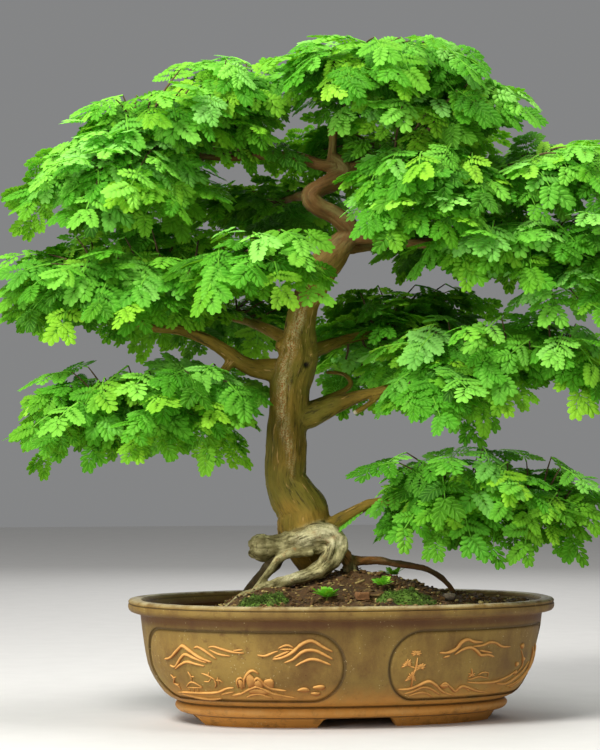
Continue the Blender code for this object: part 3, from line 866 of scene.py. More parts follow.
@dataclass(frozen=True)
class LeafFinish:
    """Thin green leaflets. The UV map has eight by eight cells: rows are painted shade and light,
    darker deeper in the crown, and columns go from yellow green to a painted bluish sheen."""

    name: str = "leaves"
    deep: Colour = (0.003, 0.028, 0.001)
    middle: Colour = (0.072, 0.350, 0.012)
    light: Colour = (0.310, 0.780, 0.085)
    yellow: Colour = (0.460, 0.820, 0.035)
    sheen: Colour = (0.370, 0.780, 0.240)
    through: Colour = (0.260, 0.660, 0.020)

    def build(self) -> bpy.types.Material:
        """The material."""
        shader = Shader(self.name)
        uv = shader.node("ShaderNodeUVMap", {"uv_map": "OFBake"}).outputs[0]
        u, v, _ = shader.axes(uv)
        column, row = (u * CELLS).floor(), (v * CELLS).floor()
        across, along = u * CELLS - column, v * CELLS - row
        light, bluish = row / (CELLS - 1), column / (CELLS - 1)
        aside = abs(across - 0.5)
        base = shader.coats(
            self.deep,
            # rows carry painted shade and light: low rows for leaves deep in the crown
            (light.ramp(-0.2, 0.55), self.middle),
            (light.ramp(0.35, 1.0), self.light),
            ((1 - bluish).ramp(0.5, 1.15) * light.ramp(0.0, 0.5) * 0.6, self.yellow),
            # painted sheen: bluish highlight on the lighter rows of the bluish columns
            (bluish.ramp(0.45, 1.0) * light.ramp(0.3, 0.8) * 0.6, self.sheen),
            ((1 - aside.ramp(0.03, 0.1)) * 0.3, self.light),
            (aside.ramp(0.36, 0.5) * 0.4, self.middle),
            ((1 - along).ramp(0.55, 1.0) * 0.5, self.deep),
            (abs(side_veins(across, along)).ramp(0.75, 1.0) * 0.12, self.light))
        return shader.surface(base, 0.6, None, 0.12, self.through)


def side_veins(across: Wire, along: Wire) -> Wire:
    """Slanting side veins of a leaflet."""
    slant = along * 40 - abs(across - 0.5) * 44
    return slant.sum("SINE", slant)


@dataclass(frozen=True)
class EarthFinish:
    """Dark crumbly soil, gravel or chips; the tone attribute, if any, moves the colour."""

    name: str
    dark: Colour
    middle: Colour
    pale: Colour
    spots: float = 180.0
    depth: float = 0.0012
    toned: bool = False

    def build(self) -> bpy.types.Material:
        """The material."""
        shader = Shader(self.name)
        broad = shader.grain(self.spots / 5, 4, 0.6)
        fine = shader.grain(self.spots * 2.5, 4, 0.7, shift=2.0)
        share = (broad * 0.7 + fine * 0.6).ramp(0.4, 0.85)
        base = shader.blend(share, self.dark, self.middle)
        pick = shader.attribute("tone") if self.toned else shader.grain(self.spots, 2, 0.5, shift=5.0)
        lit = pick.ramp(0.35, 1.0) if self.toned else pick.ramp(0.58, 0.7) * 0.6
        base = shader.blend(lit, base, self.pale)
        return shader.surface(base, 0.93, shader.bump(fine + broad, self.depth, 0.8))


@dataclass(frozen=True)
class PlainFinish:
    """An even colour with a faint grain."""

    name: str
    colour: Colour
    rough: float
    grains: float = 300.0

    def build(self) -> bpy.types.Material:
        """The material."""
        shader = Shader(self.name)
        fine = shader.grain(self.grains, 3)
        base = shader.blend(fine * 0.3, self.colour, tuple(c * 0.7 for c in self.colour))
        return shader.surface(base, self.rough + fine * 0.1, shader.bump(fine, 0.0002, 0.4))


# ---------------------------------------------------------------- places


@dataclass(frozen=True)
class Setting:
    """Where the pot stands and how the tree is turned in it."""

    centre: Vector
    turn: float = math.radians(-10.5)

    def pot(self, x: float, y: float, z: float) -> Vector:
        """Place a point given in the pot's directions."""
        return Vector((x * MM + self.centre.x, y * MM + self.centre.y, z * MM))

    def tree(self, across: float, back: float, up: float) -> Vector:
        """Place a point given in the tree's directions."""
        c, s = math.cos(self.turn), math.sin(self.turn)
        return self.pot(across * c - back * s, across * s + back * c, up)

    def flat(self, point: Vector) -> tuple[float, float]:
        """The pot's own x and y, in millimetres, of a point in metres."""
        return (point.x - self.centre.x) / MM, (point.y - self.centre.y) / MM

    def tree_of(self, points: np.ndarray) -> np.ndarray:
        """Turn points in metres back into the tree's directions."""
        x, y = (points[:, 0] - self.centre.x) / MM, (points[:, 1] - self.centre.y) / MM
        c, s = math.cos(self.turn), math.sin(self.turn)
        return np.column_stack([x * c + y * s, y * c - x * s, points[:, 2] / MM])


def oval(turn: float, inset: float) -> tuple[float, float]:
    """A point of the pot's outline.

    Args:
        turn: The angle round the pot.
        inset: How far inside the rim's outline.

    Returns:
        Its x and y in millimetres.
    """
    c, s = math.cos(turn), math.sin(turn)
    x = (RIM_HALF_LENGTH - inset) * math.copysign(abs(c) ** (2 / SQUARENESS), c)
    y = (RIM_HALF_DEPTH - inset) * math.copysign(abs(s) ** (2 / SQUARENESS), s)
    return x, y


def oval_ring(inset: float, count: int) -> np.ndarray:
    """Evenly spaced points of the pot's outline.

    Args:
        inset: How far inside the rim's outline.
        count: How many points.

    Returns:
        Rows of x and y in millimetres.
    """
    fine = np.array([oval(2 * math.pi * i / 1440, inset) for i in range(1441)])
    along = np.concatenate([[0], np.cumsum(np.hypot(*np.diff(fine, axis=0).T))])
    wanted = np.linspace(0, along[-1], count, endpoint=False)
    return np.column_stack([np.interp(wanted, along, fine[:, i]) for i in (0, 1)])


class Wall:
    """Distances along the outside of the pot, from the middle of its front."""

    def __init__(self) -> None:
        """Measure the outline at mid height."""
        self.turns = np.linspace(-1.5 * math.pi, 0.5 * math.pi, 1441)
        outline = np.array([oval(turn, self.inset(80)) for turn in self.turns])
        along = np.concatenate([[0], np.cumsum(np.hypot(*np.diff(outline, axis=0).T))])
        self.along = along - along[720]

    @staticmethod
    def inset(height: float) -> float:
        """How far inside the rim's outline the wall is at this height."""
        return float(np.interp(height, [z for _, z in BODY], [inset for inset, _ in BODY]))

    def point(self, distance: float, height: float, out: float) -> tuple[float, float, float]:
        """Place a point on or off the wall.

        Args:
            distance: Along the wall from the middle of the front, in millimetres.
            height: Above the feet.
            out: Outward from the wall.

        Returns:
            The point in the pot's directions.
        """
        turn = float(np.interp(distance, self.along, self.turns))
        inset = self.inset(height)
        x, y = oval(turn, inset)
        before, after = oval(turn - 0.01, inset), oval(turn + 0.01, inset)
        ahead = np.array(after) - np.array(before)
        normal = np.array([ahead[1], -ahead[0]]) / np.linalg.norm(ahead)
        return x + normal[0] * out, y + normal[1] * out, height


# ---------------------------------------------------------------- the pot


@dataclass
class Pot:
    """The oval pot with a rolled lip, four sunk panels and a notched foot ring."""

    setting: Setting
    wall: Wall
    segments: int = 192
    panel_ends: tuple[float, float] = (26.0, 306.0)
    panel_heights: tuple[float, float] = (34.0, 121.5)
    drain_radius: float = 10.0
    drain_x: float = 80.0
    lip_width: float = 23.0
    soil_line: float = 118.0

    def skin(self, levels: Rows, joined: bool = False) -> tuple[list[Vector], list[list[int]]]:
        """Stack outlines of the pot."""
        rings = [[self.setting.pot(x, y, z) for x, y in oval_ring(inset, self.segments)]
                 for inset, z in levels]
        return rings_skin(rings, capped=not joined)

    def panel_cutter(self, side: int, turned: bool, sunk: bpy.types.Material) -> bpy.types.Object:
        """Make the tool for one round-ended panel.

        Args:
            side: -1 for the panel on the left, 1 for the one on the right.
            turned: Whether it is on the back of the pot.
            sunk: The finish of the sunk field.

        Returns:
            A slab that follows the wall.
        """
        near, far = self.panel_ends
        low, high = self.panel_heights
        half, middle = (high - low) / 2, (high + low) / 2
        sections = []
        steps = 96
        for i in range(steps + 1):
            share = 0.5 - 0.5 * math.cos(math.pi * i / steps)
            place = near + (far - near) * share
            gap = min(place - near, far - place)
            corner = min(gap / half, 1.0)
            reach = half * max(math.sqrt(max(1 - (1 - corner) ** 2, 0)), 0.03)
            upper = reach * np.array([0.14, 0.45, 0.72, 0.84, 0.895, 0.93, 0.955, 0.98, 1.0])
            heights = middle + np.concatenate([-upper[::-1], upper])
            outer = [(z, 9.0) for z in heights[::-1]]
            inner = [(z, -self.panel_depth(place, z)) for z in heights]
            points = [self.wall.point(side * place, z, out) for z, out in inner + outer]
            sections.append([self.setting.pot(*self.flip(p, turned)) for p in points])
        return mesh_object("panel tool", *rings_skin(sections), sunk)

    def panel_edge(self, place: float, height: float) -> float:
        """How far a point of a panel lies inside its round-ended outline, in millimetres."""
        half, beyond, rise = self.panel_place(place, height)
        return half - math.hypot(max(beyond, 0.0), rise)

    def panel_place(self, place: float, height: float) -> tuple[float, float, float]:
        """Measure a point against the straight middle of a panel.

        Args:
            place: How far it is from the middle of the front.
            height: Above the feet.

        Returns:
            Half the panel's height, how far the point is past the straight middle, and how far
            above the middle line.
        """
        near, far = self.panel_ends
        low, high = self.panel_heights
        half = (high - low) / 2
        return half, abs(place - (near + far) / 2) - ((far - near) / 2 - half), height - (high + low) / 2

    def panel_depth(self, place: float, height: float) -> float:
        """How deep a point of a panel is sunk: a channel runs along the edge."""
        edge = self.panel_edge(place, height)
        channel = 1.3 * math.exp(-(((edge - 1.5) / 1.5) ** 2))
        return PANEL_DEPTH + channel - 0.5 * math.exp(-(((edge - 5.5) / 2.0) ** 2))

    @staticmethod
    def flip(point: Sequence[float], turned: bool) -> tuple[float, float, float]:
        """Turn a point half round the pot if it belongs to the back."""
        x, y, z = point
        return (-x, -y, z) if turned else (x, y, z)

    def prism(self, outline: Rows, axis: str, material: bpy.types.Material) -> bpy.types.Object:
        """Make a straight cutter through the pot.

        Args:
            outline: Flat (sideways, up) corners in millimetres.
            axis: The axis that it runs along.
            material: The clay.

        Returns:
            The cutter.
        """
        rings = []
        for end in (-320, 320):
            flat = [(a, end, z) if axis == "Y" else (end, a, z) for a, z in outline]
            rings.append([self.setting.pot(*p) for p in flat])
        return mesh_object("notch tool", *rings_skin(rings), material)

    def build(self) -> None:
        """Build the pot and fix it to the frame."""
        clay, sunk = ClayFinish().build(), ClayFinish("clay field", lift=1.18).build()
        body = mesh_object("pot_body", *self.skin([(71, 11.5)] + BODY + LIP + INSIDE), clay)
        ring = mesh_object("foot ring", *self.skin(FOOT, joined=True), clay)
        for narrow, wide, axis in ((43, 53, "Y"), (30, 40, "X")):
            outline = [(-wide, -5), (wide, -5), (narrow, 9.5), (narrow - 4, 11.5), (narrow - 4, 20),
                       (4 - narrow, 20), (4 - narrow, 11.5), (-narrow, 9.5)]
            combine(ring, self.prism(outline, axis, clay), "DIFFERENCE")
        combine(body, ring, "UNION")
        for side in (-1, 1):
            turns = [2 * math.pi * k / 48 for k in range(48)]
            rings = [[self.setting.pot(side * self.drain_x + self.drain_radius * math.cos(a),
                                       self.drain_radius * math.sin(a), z) for a in turns]
                     for z in (5, 30)]
            combine(body, mesh_object("drain tool", *rings_skin(rings), clay), "DIFFERENCE")
            for turned in (False, True):
                combine(body, self.panel_cutter(side, turned, sunk), "DIFFERENCE")
        self.mark(body.data)
        crease(body, 32)
        settle(body, Slot.CLAY, "pot")

    def mark(self, mesh: bpy.types.Mesh) -> None:
        """Store where each point is round the wall, for the finish.

        Args:
            mesh: The pot's mesh.
        """
        inside, beyond, rise = [], [], []
        for vertex in mesh.vertices:
            (x, y), z = self.setting.flat(vertex.co), vertex.co.z / MM
            reach = (abs(x) / (RIM_HALF_LENGTH - self.lip_width)) ** SQUARENESS
            reach += (abs(y) / (RIM_HALF_DEPTH - self.lip_width)) ** SQUARENESS
            # inside marks the inner wall above the soil, which the finish darkens as painted shade
            inside.append(1.0 if reach < 1 and z > self.soil_line else 0.0)
            inset = self.wall.inset(z)
            c, t = abs(x) / (RIM_HALF_LENGTH - inset), abs(y) / (RIM_HALF_DEPTH - inset)
            turn = math.atan2(t ** (SQUARENESS / 2), c ** (SQUARENESS / 2))
            place = float(np.interp(-turn, self.wall.turns, self.wall.along))
            _, past, above = self.panel_place(place, z)
            beyond.append(past * MM)
            rise.append(above * MM)
        for key, values in (("inside", inside), ("beyond", beyond), ("rise", rise)):
            store(mesh, key, values)


@dataclass(frozen=True)
class Motif:
    """One landscape relief: trailed strokes, pressed blobs and starry leaf clusters, all in
    (distance along the wall, height) from the middle of the front."""

    node: str
    strokes: tuple[tuple[float, tuple[tuple[float, float], ...]], ...]
    blobs: tuple[tuple[float, float, float, float], ...] = ()
    stars: tuple[tuple[float, float, float], ...] = ()


MOTIFS = (
    Motif("ridge_left", (
        (1.9, ((-262, 83), (-249, 86), (-235, 96), (-227, 101), (-219, 97), (-204, 88), (-189, 83))),
        (1.7, ((-253, 76), (-244, 75), (-232, 86), (-224, 91), (-212, 87), (-195, 82))),
        (1.5, ((-245, 72), (-234, 78), (-223, 82), (-211, 80), (-199, 78))),
        (1.4, ((-211, 99), (-206, 101), (-197, 97), (-182, 87))),
        (1.4, ((-191, 101), (-184, 102), (-173, 99), (-161, 96), (-147, 95))),
        (1.1, ((-190, 98), (-178, 93), (-164, 91))), (0.9, ((-160, 98), (-148, 99))))),
    Motif("ridge_centre", (
        (2.0, ((-113, 88), (-102, 90), (-90, 96), (-80, 105), (-70, 110), (-63, 109), (-52, 102), (-42, 97))),
        (1.8, ((-99, 84), (-89, 88), (-79, 96), (-71, 99), (-61, 98), (-51, 93), (-42, 88))),
        (1.6, ((-86, 80), (-77, 85), (-68, 88), (-59, 87), (-44, 81))),
        (1.3, ((-131, 93), (-122, 92), (-112, 96), (-106, 98))), (1.4, ((-112, 90), (-102, 94), (-93, 98))),
        (1.2, ((-106, 101), (-100, 104), (-94, 105), (-88, 102))), (1.2, ((-104, 100), (-88, 100))))),
    Motif("shore_left", (
        (1.6, ((-262, 42), (-240, 43), (-206, 44), (-190, 46), (-176, 51), (-167, 52))),
        (1.6, ((-255, 40), (-224, 37), (-206, 36), (-190, 38))),
        (1.3, ((-190, 42), (-179, 45), (-168, 47))), (1.2, ((-174, 42), (-164, 44), (-158, 46))),
        (1.0, ((-238, 50), (-224, 57), (-211, 51))), (0.9, ((-237, 49.5), (-211, 50.5))),
        (0.7, ((-234, 49), (-235, 44))), (0.7, ((-227, 49), (-228, 44))), (0.7, ((-220, 49), (-220, 44))),
        (0.9, ((-223, 58), (-222, 64), (-225, 70))), (0.7, ((-222, 64), (-217, 64))),
        (0.9, ((-205, 69), (-196, 66), (-188, 61))), (0.8, ((-195, 71), (-196, 65))),
        (0.8, ((-192, 65), (-198, 59), (-205, 59))), (1.0, ((-190, 62), (-189, 56), (-193, 51))),
        (0.8, ((-188, 61), (-183, 61), (-179, 58))), (0.8, ((-184, 65), (-185, 56))),
        (1.2, ((-258, 64), (-253, 60), (-258, 54), (-252, 51), (-251, 46))),
        (0.9, ((-259, 59), (-248, 62))), (0.9, ((-259, 50), (-249, 53))))),
    Motif("rocks", (
        (1.6, ((-153, 52), (-150, 63), (-144, 71), (-138, 74), (-131, 70))),
        (1.3, ((-161, 52), (-160, 61), (-155, 65), (-151, 62))),
        (1.6, ((-141, 54), (-138, 61), (-134, 65), (-130, 62), (-124, 55), (-114, 51), (-100, 49))),
        (1.6, ((-170, 41), (-159, 45), (-146, 51), (-136, 54), (-127, 50), (-115, 45), (-91, 40))),
        (1.6, ((-155, 40), (-144, 44), (-135, 45), (-127, 42), (-119, 39)))),
        ((-120, 58, 6.5, 6.5), (-143, 61, 6.0, 10.0), (-156, 57, 3.6, 6.5), (-133, 57, 6, 6),
         (-136, 47, 14, 4), (-78, 50, 8.0, 3.2), (-58, 53, 8.0, 3.4), (-63, 45, 6.6, 2.8))),
    Motif("maple", (
        (1.3, ((62, 88), (61, 75), (59, 67), (60, 50))), (1.0, ((61, 75), (52, 78))),
        (1.0, ((60, 72), (66, 75)))), (),
        ((60, 92, 7.0), (50, 79, 8.0), (67, 75, 7.5), (57, 62, 9.0))),
    Motif("ridge_right", (
        (1.9, ((90, 93), (101, 93), (111, 97), (118, 105), (126, 108), (135, 105), (147, 104))),
        (1.7, ((110, 90), (120, 96), (131, 98), (141, 93), (147, 88), (158, 88), (168, 85))),
        (1.5, ((134, 99), (148, 100), (158, 103), (168, 102), (179, 97), (194, 96))),
        (1.3, ((144, 94), (154, 92), (164, 90))), (1.1, ((95, 87), (104, 89))))),
    Motif("shore_right", (
        (1.8, ((43, 49), (56, 49), (68, 53), (80, 58), (91, 54), (107, 44), (128, 38))),
        (1.6, ((53, 43), (64, 46), (76, 51), (89, 48), (105, 40))),
        (1.5, ((60, 40), (72, 44), (84, 43), (95, 38))),
        (1.6, ((99, 51), (105, 55), (116, 49), (125, 44), (132, 50), (145, 47), (159, 43), (179, 40))),
        (1.2, ((125, 46), (134, 49), (148, 43))), (1.0, ((136, 58), (143, 59), (153, 61), (169, 58))),
        (0.8, ((149, 63), (155, 66), (165, 65), (165, 60))), (0.9, ((137, 72), (142, 60))),
        (0.8, ((134, 66), (146, 62))), (0.8, ((135, 61), (144, 66)))), ((106, 51, 6.0, 3.2),)),
    Motif("cliff", (
        (1.5, ((137, 55), (159, 53), (181, 53), (201, 57), (217, 64))),
        (1.5, ((188, 50), (207, 49), (220, 54), (234, 62), (246, 74))),
        (1.4, ((214, 45), (232, 48), (246, 56), (256, 68), (264, 86))),
        (1.4, ((226, 42), (244, 49), (258, 60), (268, 74), (273, 92))),
        (1.2, ((252, 92), (256, 80), (252, 66))), (1.1, ((262, 95), (264, 84), (258, 72))),
        (1.0, ((218, 90), (225, 80), (228, 70), (222, 62)))),
        ((219, 95, 3.8, 3.6), (227, 78, 3.2, 3.0), (214, 73, 3.4, 3.2), (217, 62, 3.2, 3.2))),
)


@dataclass
class Reliefs:
    """The slip landscapes in the sunk panels, the same on the front and the back."""

    setting: Setting
    wall: Wall
    step: float = 2.6

    def place(self, distance: float, height: float, out: float, turned: bool) -> Vector:
        """Place a point off the panel's field."""
        point = self.wall.point(distance, height, out - PANEL_DEPTH)
        return self.setting.pot(*Pot.flip(point, turned))

    def stroke(self, radius: float, keys: Rows, turned: bool) -> np.ndarray:
        """Make one trailed line, thick in the middle and thin at its ends.

        Args:
            radius: Its greatest radius in millimetres.
            keys: Points of (distance, height).
            turned: Whether it is on the back.

        Returns:
            Rows of x, y, z, radius in metres.
        """
        rows = []
        path = smooth_path(keys, self.step)
        for i, (distance, height) in enumerate(path):
            share = i / (len(path) - 1)
            wobble = 1.18 + 0.26 * noise.noise((distance * 0.21, height * 0.21, radius))
            thick = radius * (0.42 + 0.58 * math.sin(math.pi * share) ** 0.6) * wobble
            rows.append((*self.place(distance, height, thick * 0.25, turned), thick * MM))
        return np.array(rows)

    def blob(self, distance: float, height: float, half_width: float, half_height: float,
             turned: bool, material: bpy.types.Material) -> bpy.types.Object:
        """Make one pressed pat of slip.

        Args:
            distance: Its middle along the wall.
            height: Its middle above the feet.
            half_width: Half its width.
            half_height: Half its height.
            turned: Whether it is on the back.
            material: The slip.

        Returns:
            A closed dome whose flat side is sunk in the field.
        """
        rings = []
        for share, out in ((0.3, -0.8), (1.0, -0.8), (1.0, 0.5), (0.86, 1.5), (0.55, 2.2), (0.2, 2.5)):
            ring = []
            for k in range(20):
                a = 2 * math.pi * k / 20
                uneven = 1 + 0.1 * math.sin(3 * a + distance)
                ring.append(self.place(distance + half_width * share * uneven * math.cos(a),
                                       height + half_height * share * uneven * math.sin(a), out, turned))
            rings.append(ring)
        return mesh_object("pat", *rings_skin(rings), material)

    def star(self, distance: float, height: float, reach: float, turned: bool) -> list[np.ndarray]:
        """Make one cluster of pointed leaves.

        Args:
            distance: Its middle along the wall.
            height: Its middle above the feet.
            reach: The leaves' length.
            turned: Whether it is on the back.

        Returns:
            The paths of its leaves.
        """
        paths = []
        for k in range(9):
            a = math.radians(-20 + 220 * k / 8)
            long = reach * (0.8 + 0.2 * math.sin(5 * k + distance))
            tip = (distance + long * math.cos(a), height + long * math.sin(a))
            middle = ((distance + tip[0]) / 2, (height + tip[1]) / 2 + 0.6)
            paths.append(self.stroke(1.05, ((distance, height), middle, tip), turned))
        return paths

    def build(self) -> None:
        """Build every relief and fix it to the frame."""
        slip, graph = SlipFinish().build(), tube_graph(10)
        for side, turned in (("front", False), ("back", True)):
            for motif in MOTIFS:
                name = f"{side}_{motif.node}"
                paths = [self.stroke(radius, keys, turned) for radius, keys in motif.strokes]
                for star in motif.stars:
                    paths += self.star(*star, turned)
                lines = chain_object("lines", paths)
                graph.apply(lines, {"Material": slip})
                pats = [self.blob(*blob, turned, slip) for blob in motif.blobs]
                piece = merge(f"slip_{name}", [lines] + pats)
                self.paint_slip_light(piece.data, turned)
                settle(piece, Slot.RELIEF, f"relief_{name}")

    def paint_slip_light(self, mesh: bpy.types.Mesh, turned: bool) -> None:
        """Store how far each point faces out of the wall and up, which the finish paints as highlight and
        shade.

        Args:
            mesh: The relief's mesh.
            turned: Whether it is on the back.
        """
        toward = -1.0 if not turned else 1.0
        values = []
        for vertex in mesh.vertices:
            out = Vector(((vertex.co.x - self.setting.centre.x) * 1.2,
                          vertex.co.y - self.setting.centre.y + toward * 0.12, 0)).normalized()
            values.append(max(0.0, min(1.0, vertex.normal @ out * 0.7 + vertex.normal.z * 0.5)))
        store(mesh, "crest", values)


@dataclass
class DrainMesh:
    """A square of woven plastic over a drain hole."""

    node: str
    strands: int = 11
    width: float = 1.1

    def build(self) -> None:
        """Build the lattice inside the CAD node's box."""
        low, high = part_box(self.node)
        under, over = (low.z + high.z) / 2 - 0.0002, (low.z + high.z) / 2 + 0.0002
        paths, radius = [], self.width / 2 * MM
        for k in range(self.strands):
            x, y, _ = low + (high - low) * ((k + 0.5) / self.strands)
            paths.append([(x, low.y, under, radius), (x, high.y, under, radius)])
            paths.append([(low.x, y, over, radius), (high.x, y, over, radius)])
        lattice = chain_object(f"{self.node}_weave", [np.array(path) for path in paths])
        plastic = PlainFinish("mesh plastic", (0.025, 0.025, 0.027), 0.5).build()
        tube_graph(6).apply(lattice, {"Material": plastic})
        settle(lattice, Slot.PLASTIC, self.node)


# ---------------------------------------------------------------- the soil and what lies on it


@dataclass
class SoilBed:
    """The soil: low at the left end, a step up, and a mound under the roots."""

    setting: Setting
    edge: float = 29.8
    low: float = 122.0
    around: int = 168

    def level(self, x: float, y: float) -> float:
        """The even height of the bed at a place in the pot's directions, in millimetres."""
        c, s = math.cos(self.setting.turn), math.sin(self.setting.turn)
        across, back = x * c + y * s, y * c - x * s
        step = min(max((across + 190) / 75, 0), 1)
        hump = math.exp(-(((across - 15) / 105) ** 2) - ((back - 5) / 80) ** 2)
        bank = math.exp(-(((across + 98) / 50) ** 2) - ((back + 62) / 36) ** 2)
        return self.low + 22 * step * step * (3 - 2 * step) + 40 * hump + 15 * bank

    def height(self, x: float, y: float) -> float:
        """The crumbly height of the bed there, in millimetres."""
        rough = noise.fractal((x / 26, y / 26, 0.0), 0.8, 2.1, 5) * 4.2
        clod = max(0.0, noise.noise((x / 11, y / 11, 4.0))) * 5.5
        return self.level(x, y) + rough + clod - 0.6

    def build(self) -> None:
        """Build the bed as one closed mesh."""
        rings = []
        for inset, z in [(80, 24.4), (62, 34), (50, 50), (37, 72), (32, 98), (29.4, 114)]:
            outline = oval_ring(inset + 0.8, self.around)
            rings.append([self.setting.pot(x, y, z) for x, y in outline])
        outline = oval_ring(self.edge, self.around)
        for k in range(34):
            share = 1 - (k / 34) ** 1.15
            rings.append([self.setting.pot(x * share, y * share, self.height(x * share, y * share))
                          for x, y in outline])
        earth = EarthFinish("soil", (0.016, 0.008, 0.002), (0.110, 0.052, 0.012),
                            (0.270, 0.190, 0.048)).build()
        bed = mesh_object("soil_bed", *rings_skin(rings), earth)
        settle(bed, Slot.SOIL, "soil")


def shape_set(name: str, shapes: Sequence[bpy.types.Object]) -> bpy.types.Collection:
    """Gather template shapes, taken out of the scene, in name order.

    Args:
        name: The collection's name.
        shapes: The shapes.

    Returns:
        The collection.
    """
    group = bpy.data.collections.new(name)
    for i, shape in enumerate(shapes):
        shape.name = f"{name}_{i:02d}"
        for owner in list(shape.users_collection):
            owner.objects.unlink(shape)
        group.objects.link(shape)
    return group


@dataclass
class Scatter:
    """Points to be given shapes: where, which, how turned, how large and of what tone."""

    places: list[Vector] = field(default_factory=list)
    kinds: list[int] = field(default_factory=list)
    turns: list[tuple[float, float, float]] = field(default_factory=list)
    sizes: list[tuple[float, float, float]] = field(default_factory=list)
    tones: list[float] = field(default_factory=list)
    shades: list[float] = field(default_factory=list)

    def add(self, place: Vector, kind: int, turn: Matrix | Euler, size: float | tuple[float, ...],
            tone: float = 0.5, shade: float = 0.5) -> None:
        """Add one point.

        Args:
            place: Where, in metres.
            kind: Which shape.
            turn: How it is turned.
            size: Its scale.
            tone: Its colour choice, 0 to 1.
            shade: Its lightness choice, 0 to 1.
        """
        self.places.append(place)
        self.kinds.append(kind)
        self.turns.append(tuple(turn.to_euler() if isinstance(turn, Matrix) else turn))
        self.sizes.append((size,) * 3 if isinstance(size, (int, float)) else tuple(size))
        self.tones.append(tone)
        self.shades.append(shade)

    def build(self, name: str, graph: Graph, shapes: bpy.types.Collection,
              material: bpy.types.Material) -> bpy.types.Object:
        """Turn the points into one plain mesh.

        Args:
            name: The piece's name.
            graph: The scatter tree.
            shapes: The templates.
            material: Their finish.

        Returns:
            The object.
        """
        mesh = bpy.data.meshes.new(name)
        mesh.from_pydata([tuple(place) for place in self.places], [], [])
        store(mesh, "kind", self.kinds, "INT")
        for key, vectors in (("turn", self.turns), ("size", self.sizes)):
            store(mesh, key, vectors, "FLOAT_VECTOR")
        for key, values in (("tone", self.tones), ("shade", self.shades)):
            store(mesh, key, values)
        obj = new_object(name, mesh)
        graph.apply(obj, {"Shapes": shapes, "Material": material})
        return obj


@dataclass
class Litter:
    """Gravel, bark chips and twig bits strewn over the soil."""

    setting: Setting
    bed: SoilBed
    count: int = 2600

    def pebble(self, seed: int) -> bpy.types.Object:
        """A small uneven stone of unit radius."""
        shape = bmesh.new()
        bmesh.ops.create_icosphere(shape, subdivisions=1, radius=1.0)
        for vertex in shape.verts:
            push = 1 + 0.34 * noise.noise(vertex.co * 1.7 + Vector((seed * 3.1, 0, 0)))
            vertex.co = vertex.co * push * Vector((1.0, 0.85, 0.62))
        return bpy.data.objects.new("pebble", plain_mesh("pebble", shape, smooth=False))

    def chip(self, long: float, wide: float, thick: float) -> bpy.types.Object:
        """A flat splinter with uneven ends."""
        outline = [(-1, -0.6), (-0.2, -1), (0.9, -0.8), (1.1, 0.3), (0.3, 0.9), (-0.8, 0.8)]
        rings = [[(x * long, y * wide, z * thick + 0.2 * x * thick) for x, y in outline] for z in (-1, 1)]
        return mesh_object("chip", *rings_skin(rings), None)

    def build(self) -> None:
        """Strew the pieces."""
        rng = random.Random(SEED)
        shapes = [self.pebble(seed) for seed in range(4)]
        shapes += [self.chip(1.5, 0.8, 0.22), self.chip(2.6, 0.4, 0.3)]
        strewn = Scatter()
        half = (RIM_HALF_LENGTH - 33, RIM_HALF_DEPTH - 33)
        while len(strewn.places) < self.count:
            x, y = rng.uniform(-1, 1) * half[0], rng.uniform(-1, 1) * half[1]
            if (abs(x) / half[0]) ** SQUARENESS + (abs(y) / half[1]) ** SQUARENESS > 1:
                continue
            kind = rng.choices(range(6), (5, 5, 4, 4, 3, 2))[0]
            size = MM * rng.uniform(1.2, 2.7) * (1.7 if rng.random() < 0.14 else 1)
            place = self.setting.pot(x, y, self.bed.height(x, y) + size / MM * 0.25)
            turn = Euler((rng.uniform(-0.4, 0.4), rng.uniform(-0.4, 0.4), rng.uniform(0, 6.28)))
            strewn.add(place, kind, turn, size, rng.random() ** 2.2)
        mixed = EarthFinish("litter", (0.030, 0.014, 0.003), (0.170, 0.085, 0.020),
                            (0.460, 0.350, 0.120), spots=260, depth=0.0005, toned=True).build()
        piece = strewn.build("soil_litter", scatter_graph(), shape_set("litter", shapes), mixed)
        settle(piece, Slot.SOIL)


# ---------------------------------------------------------------- leaves


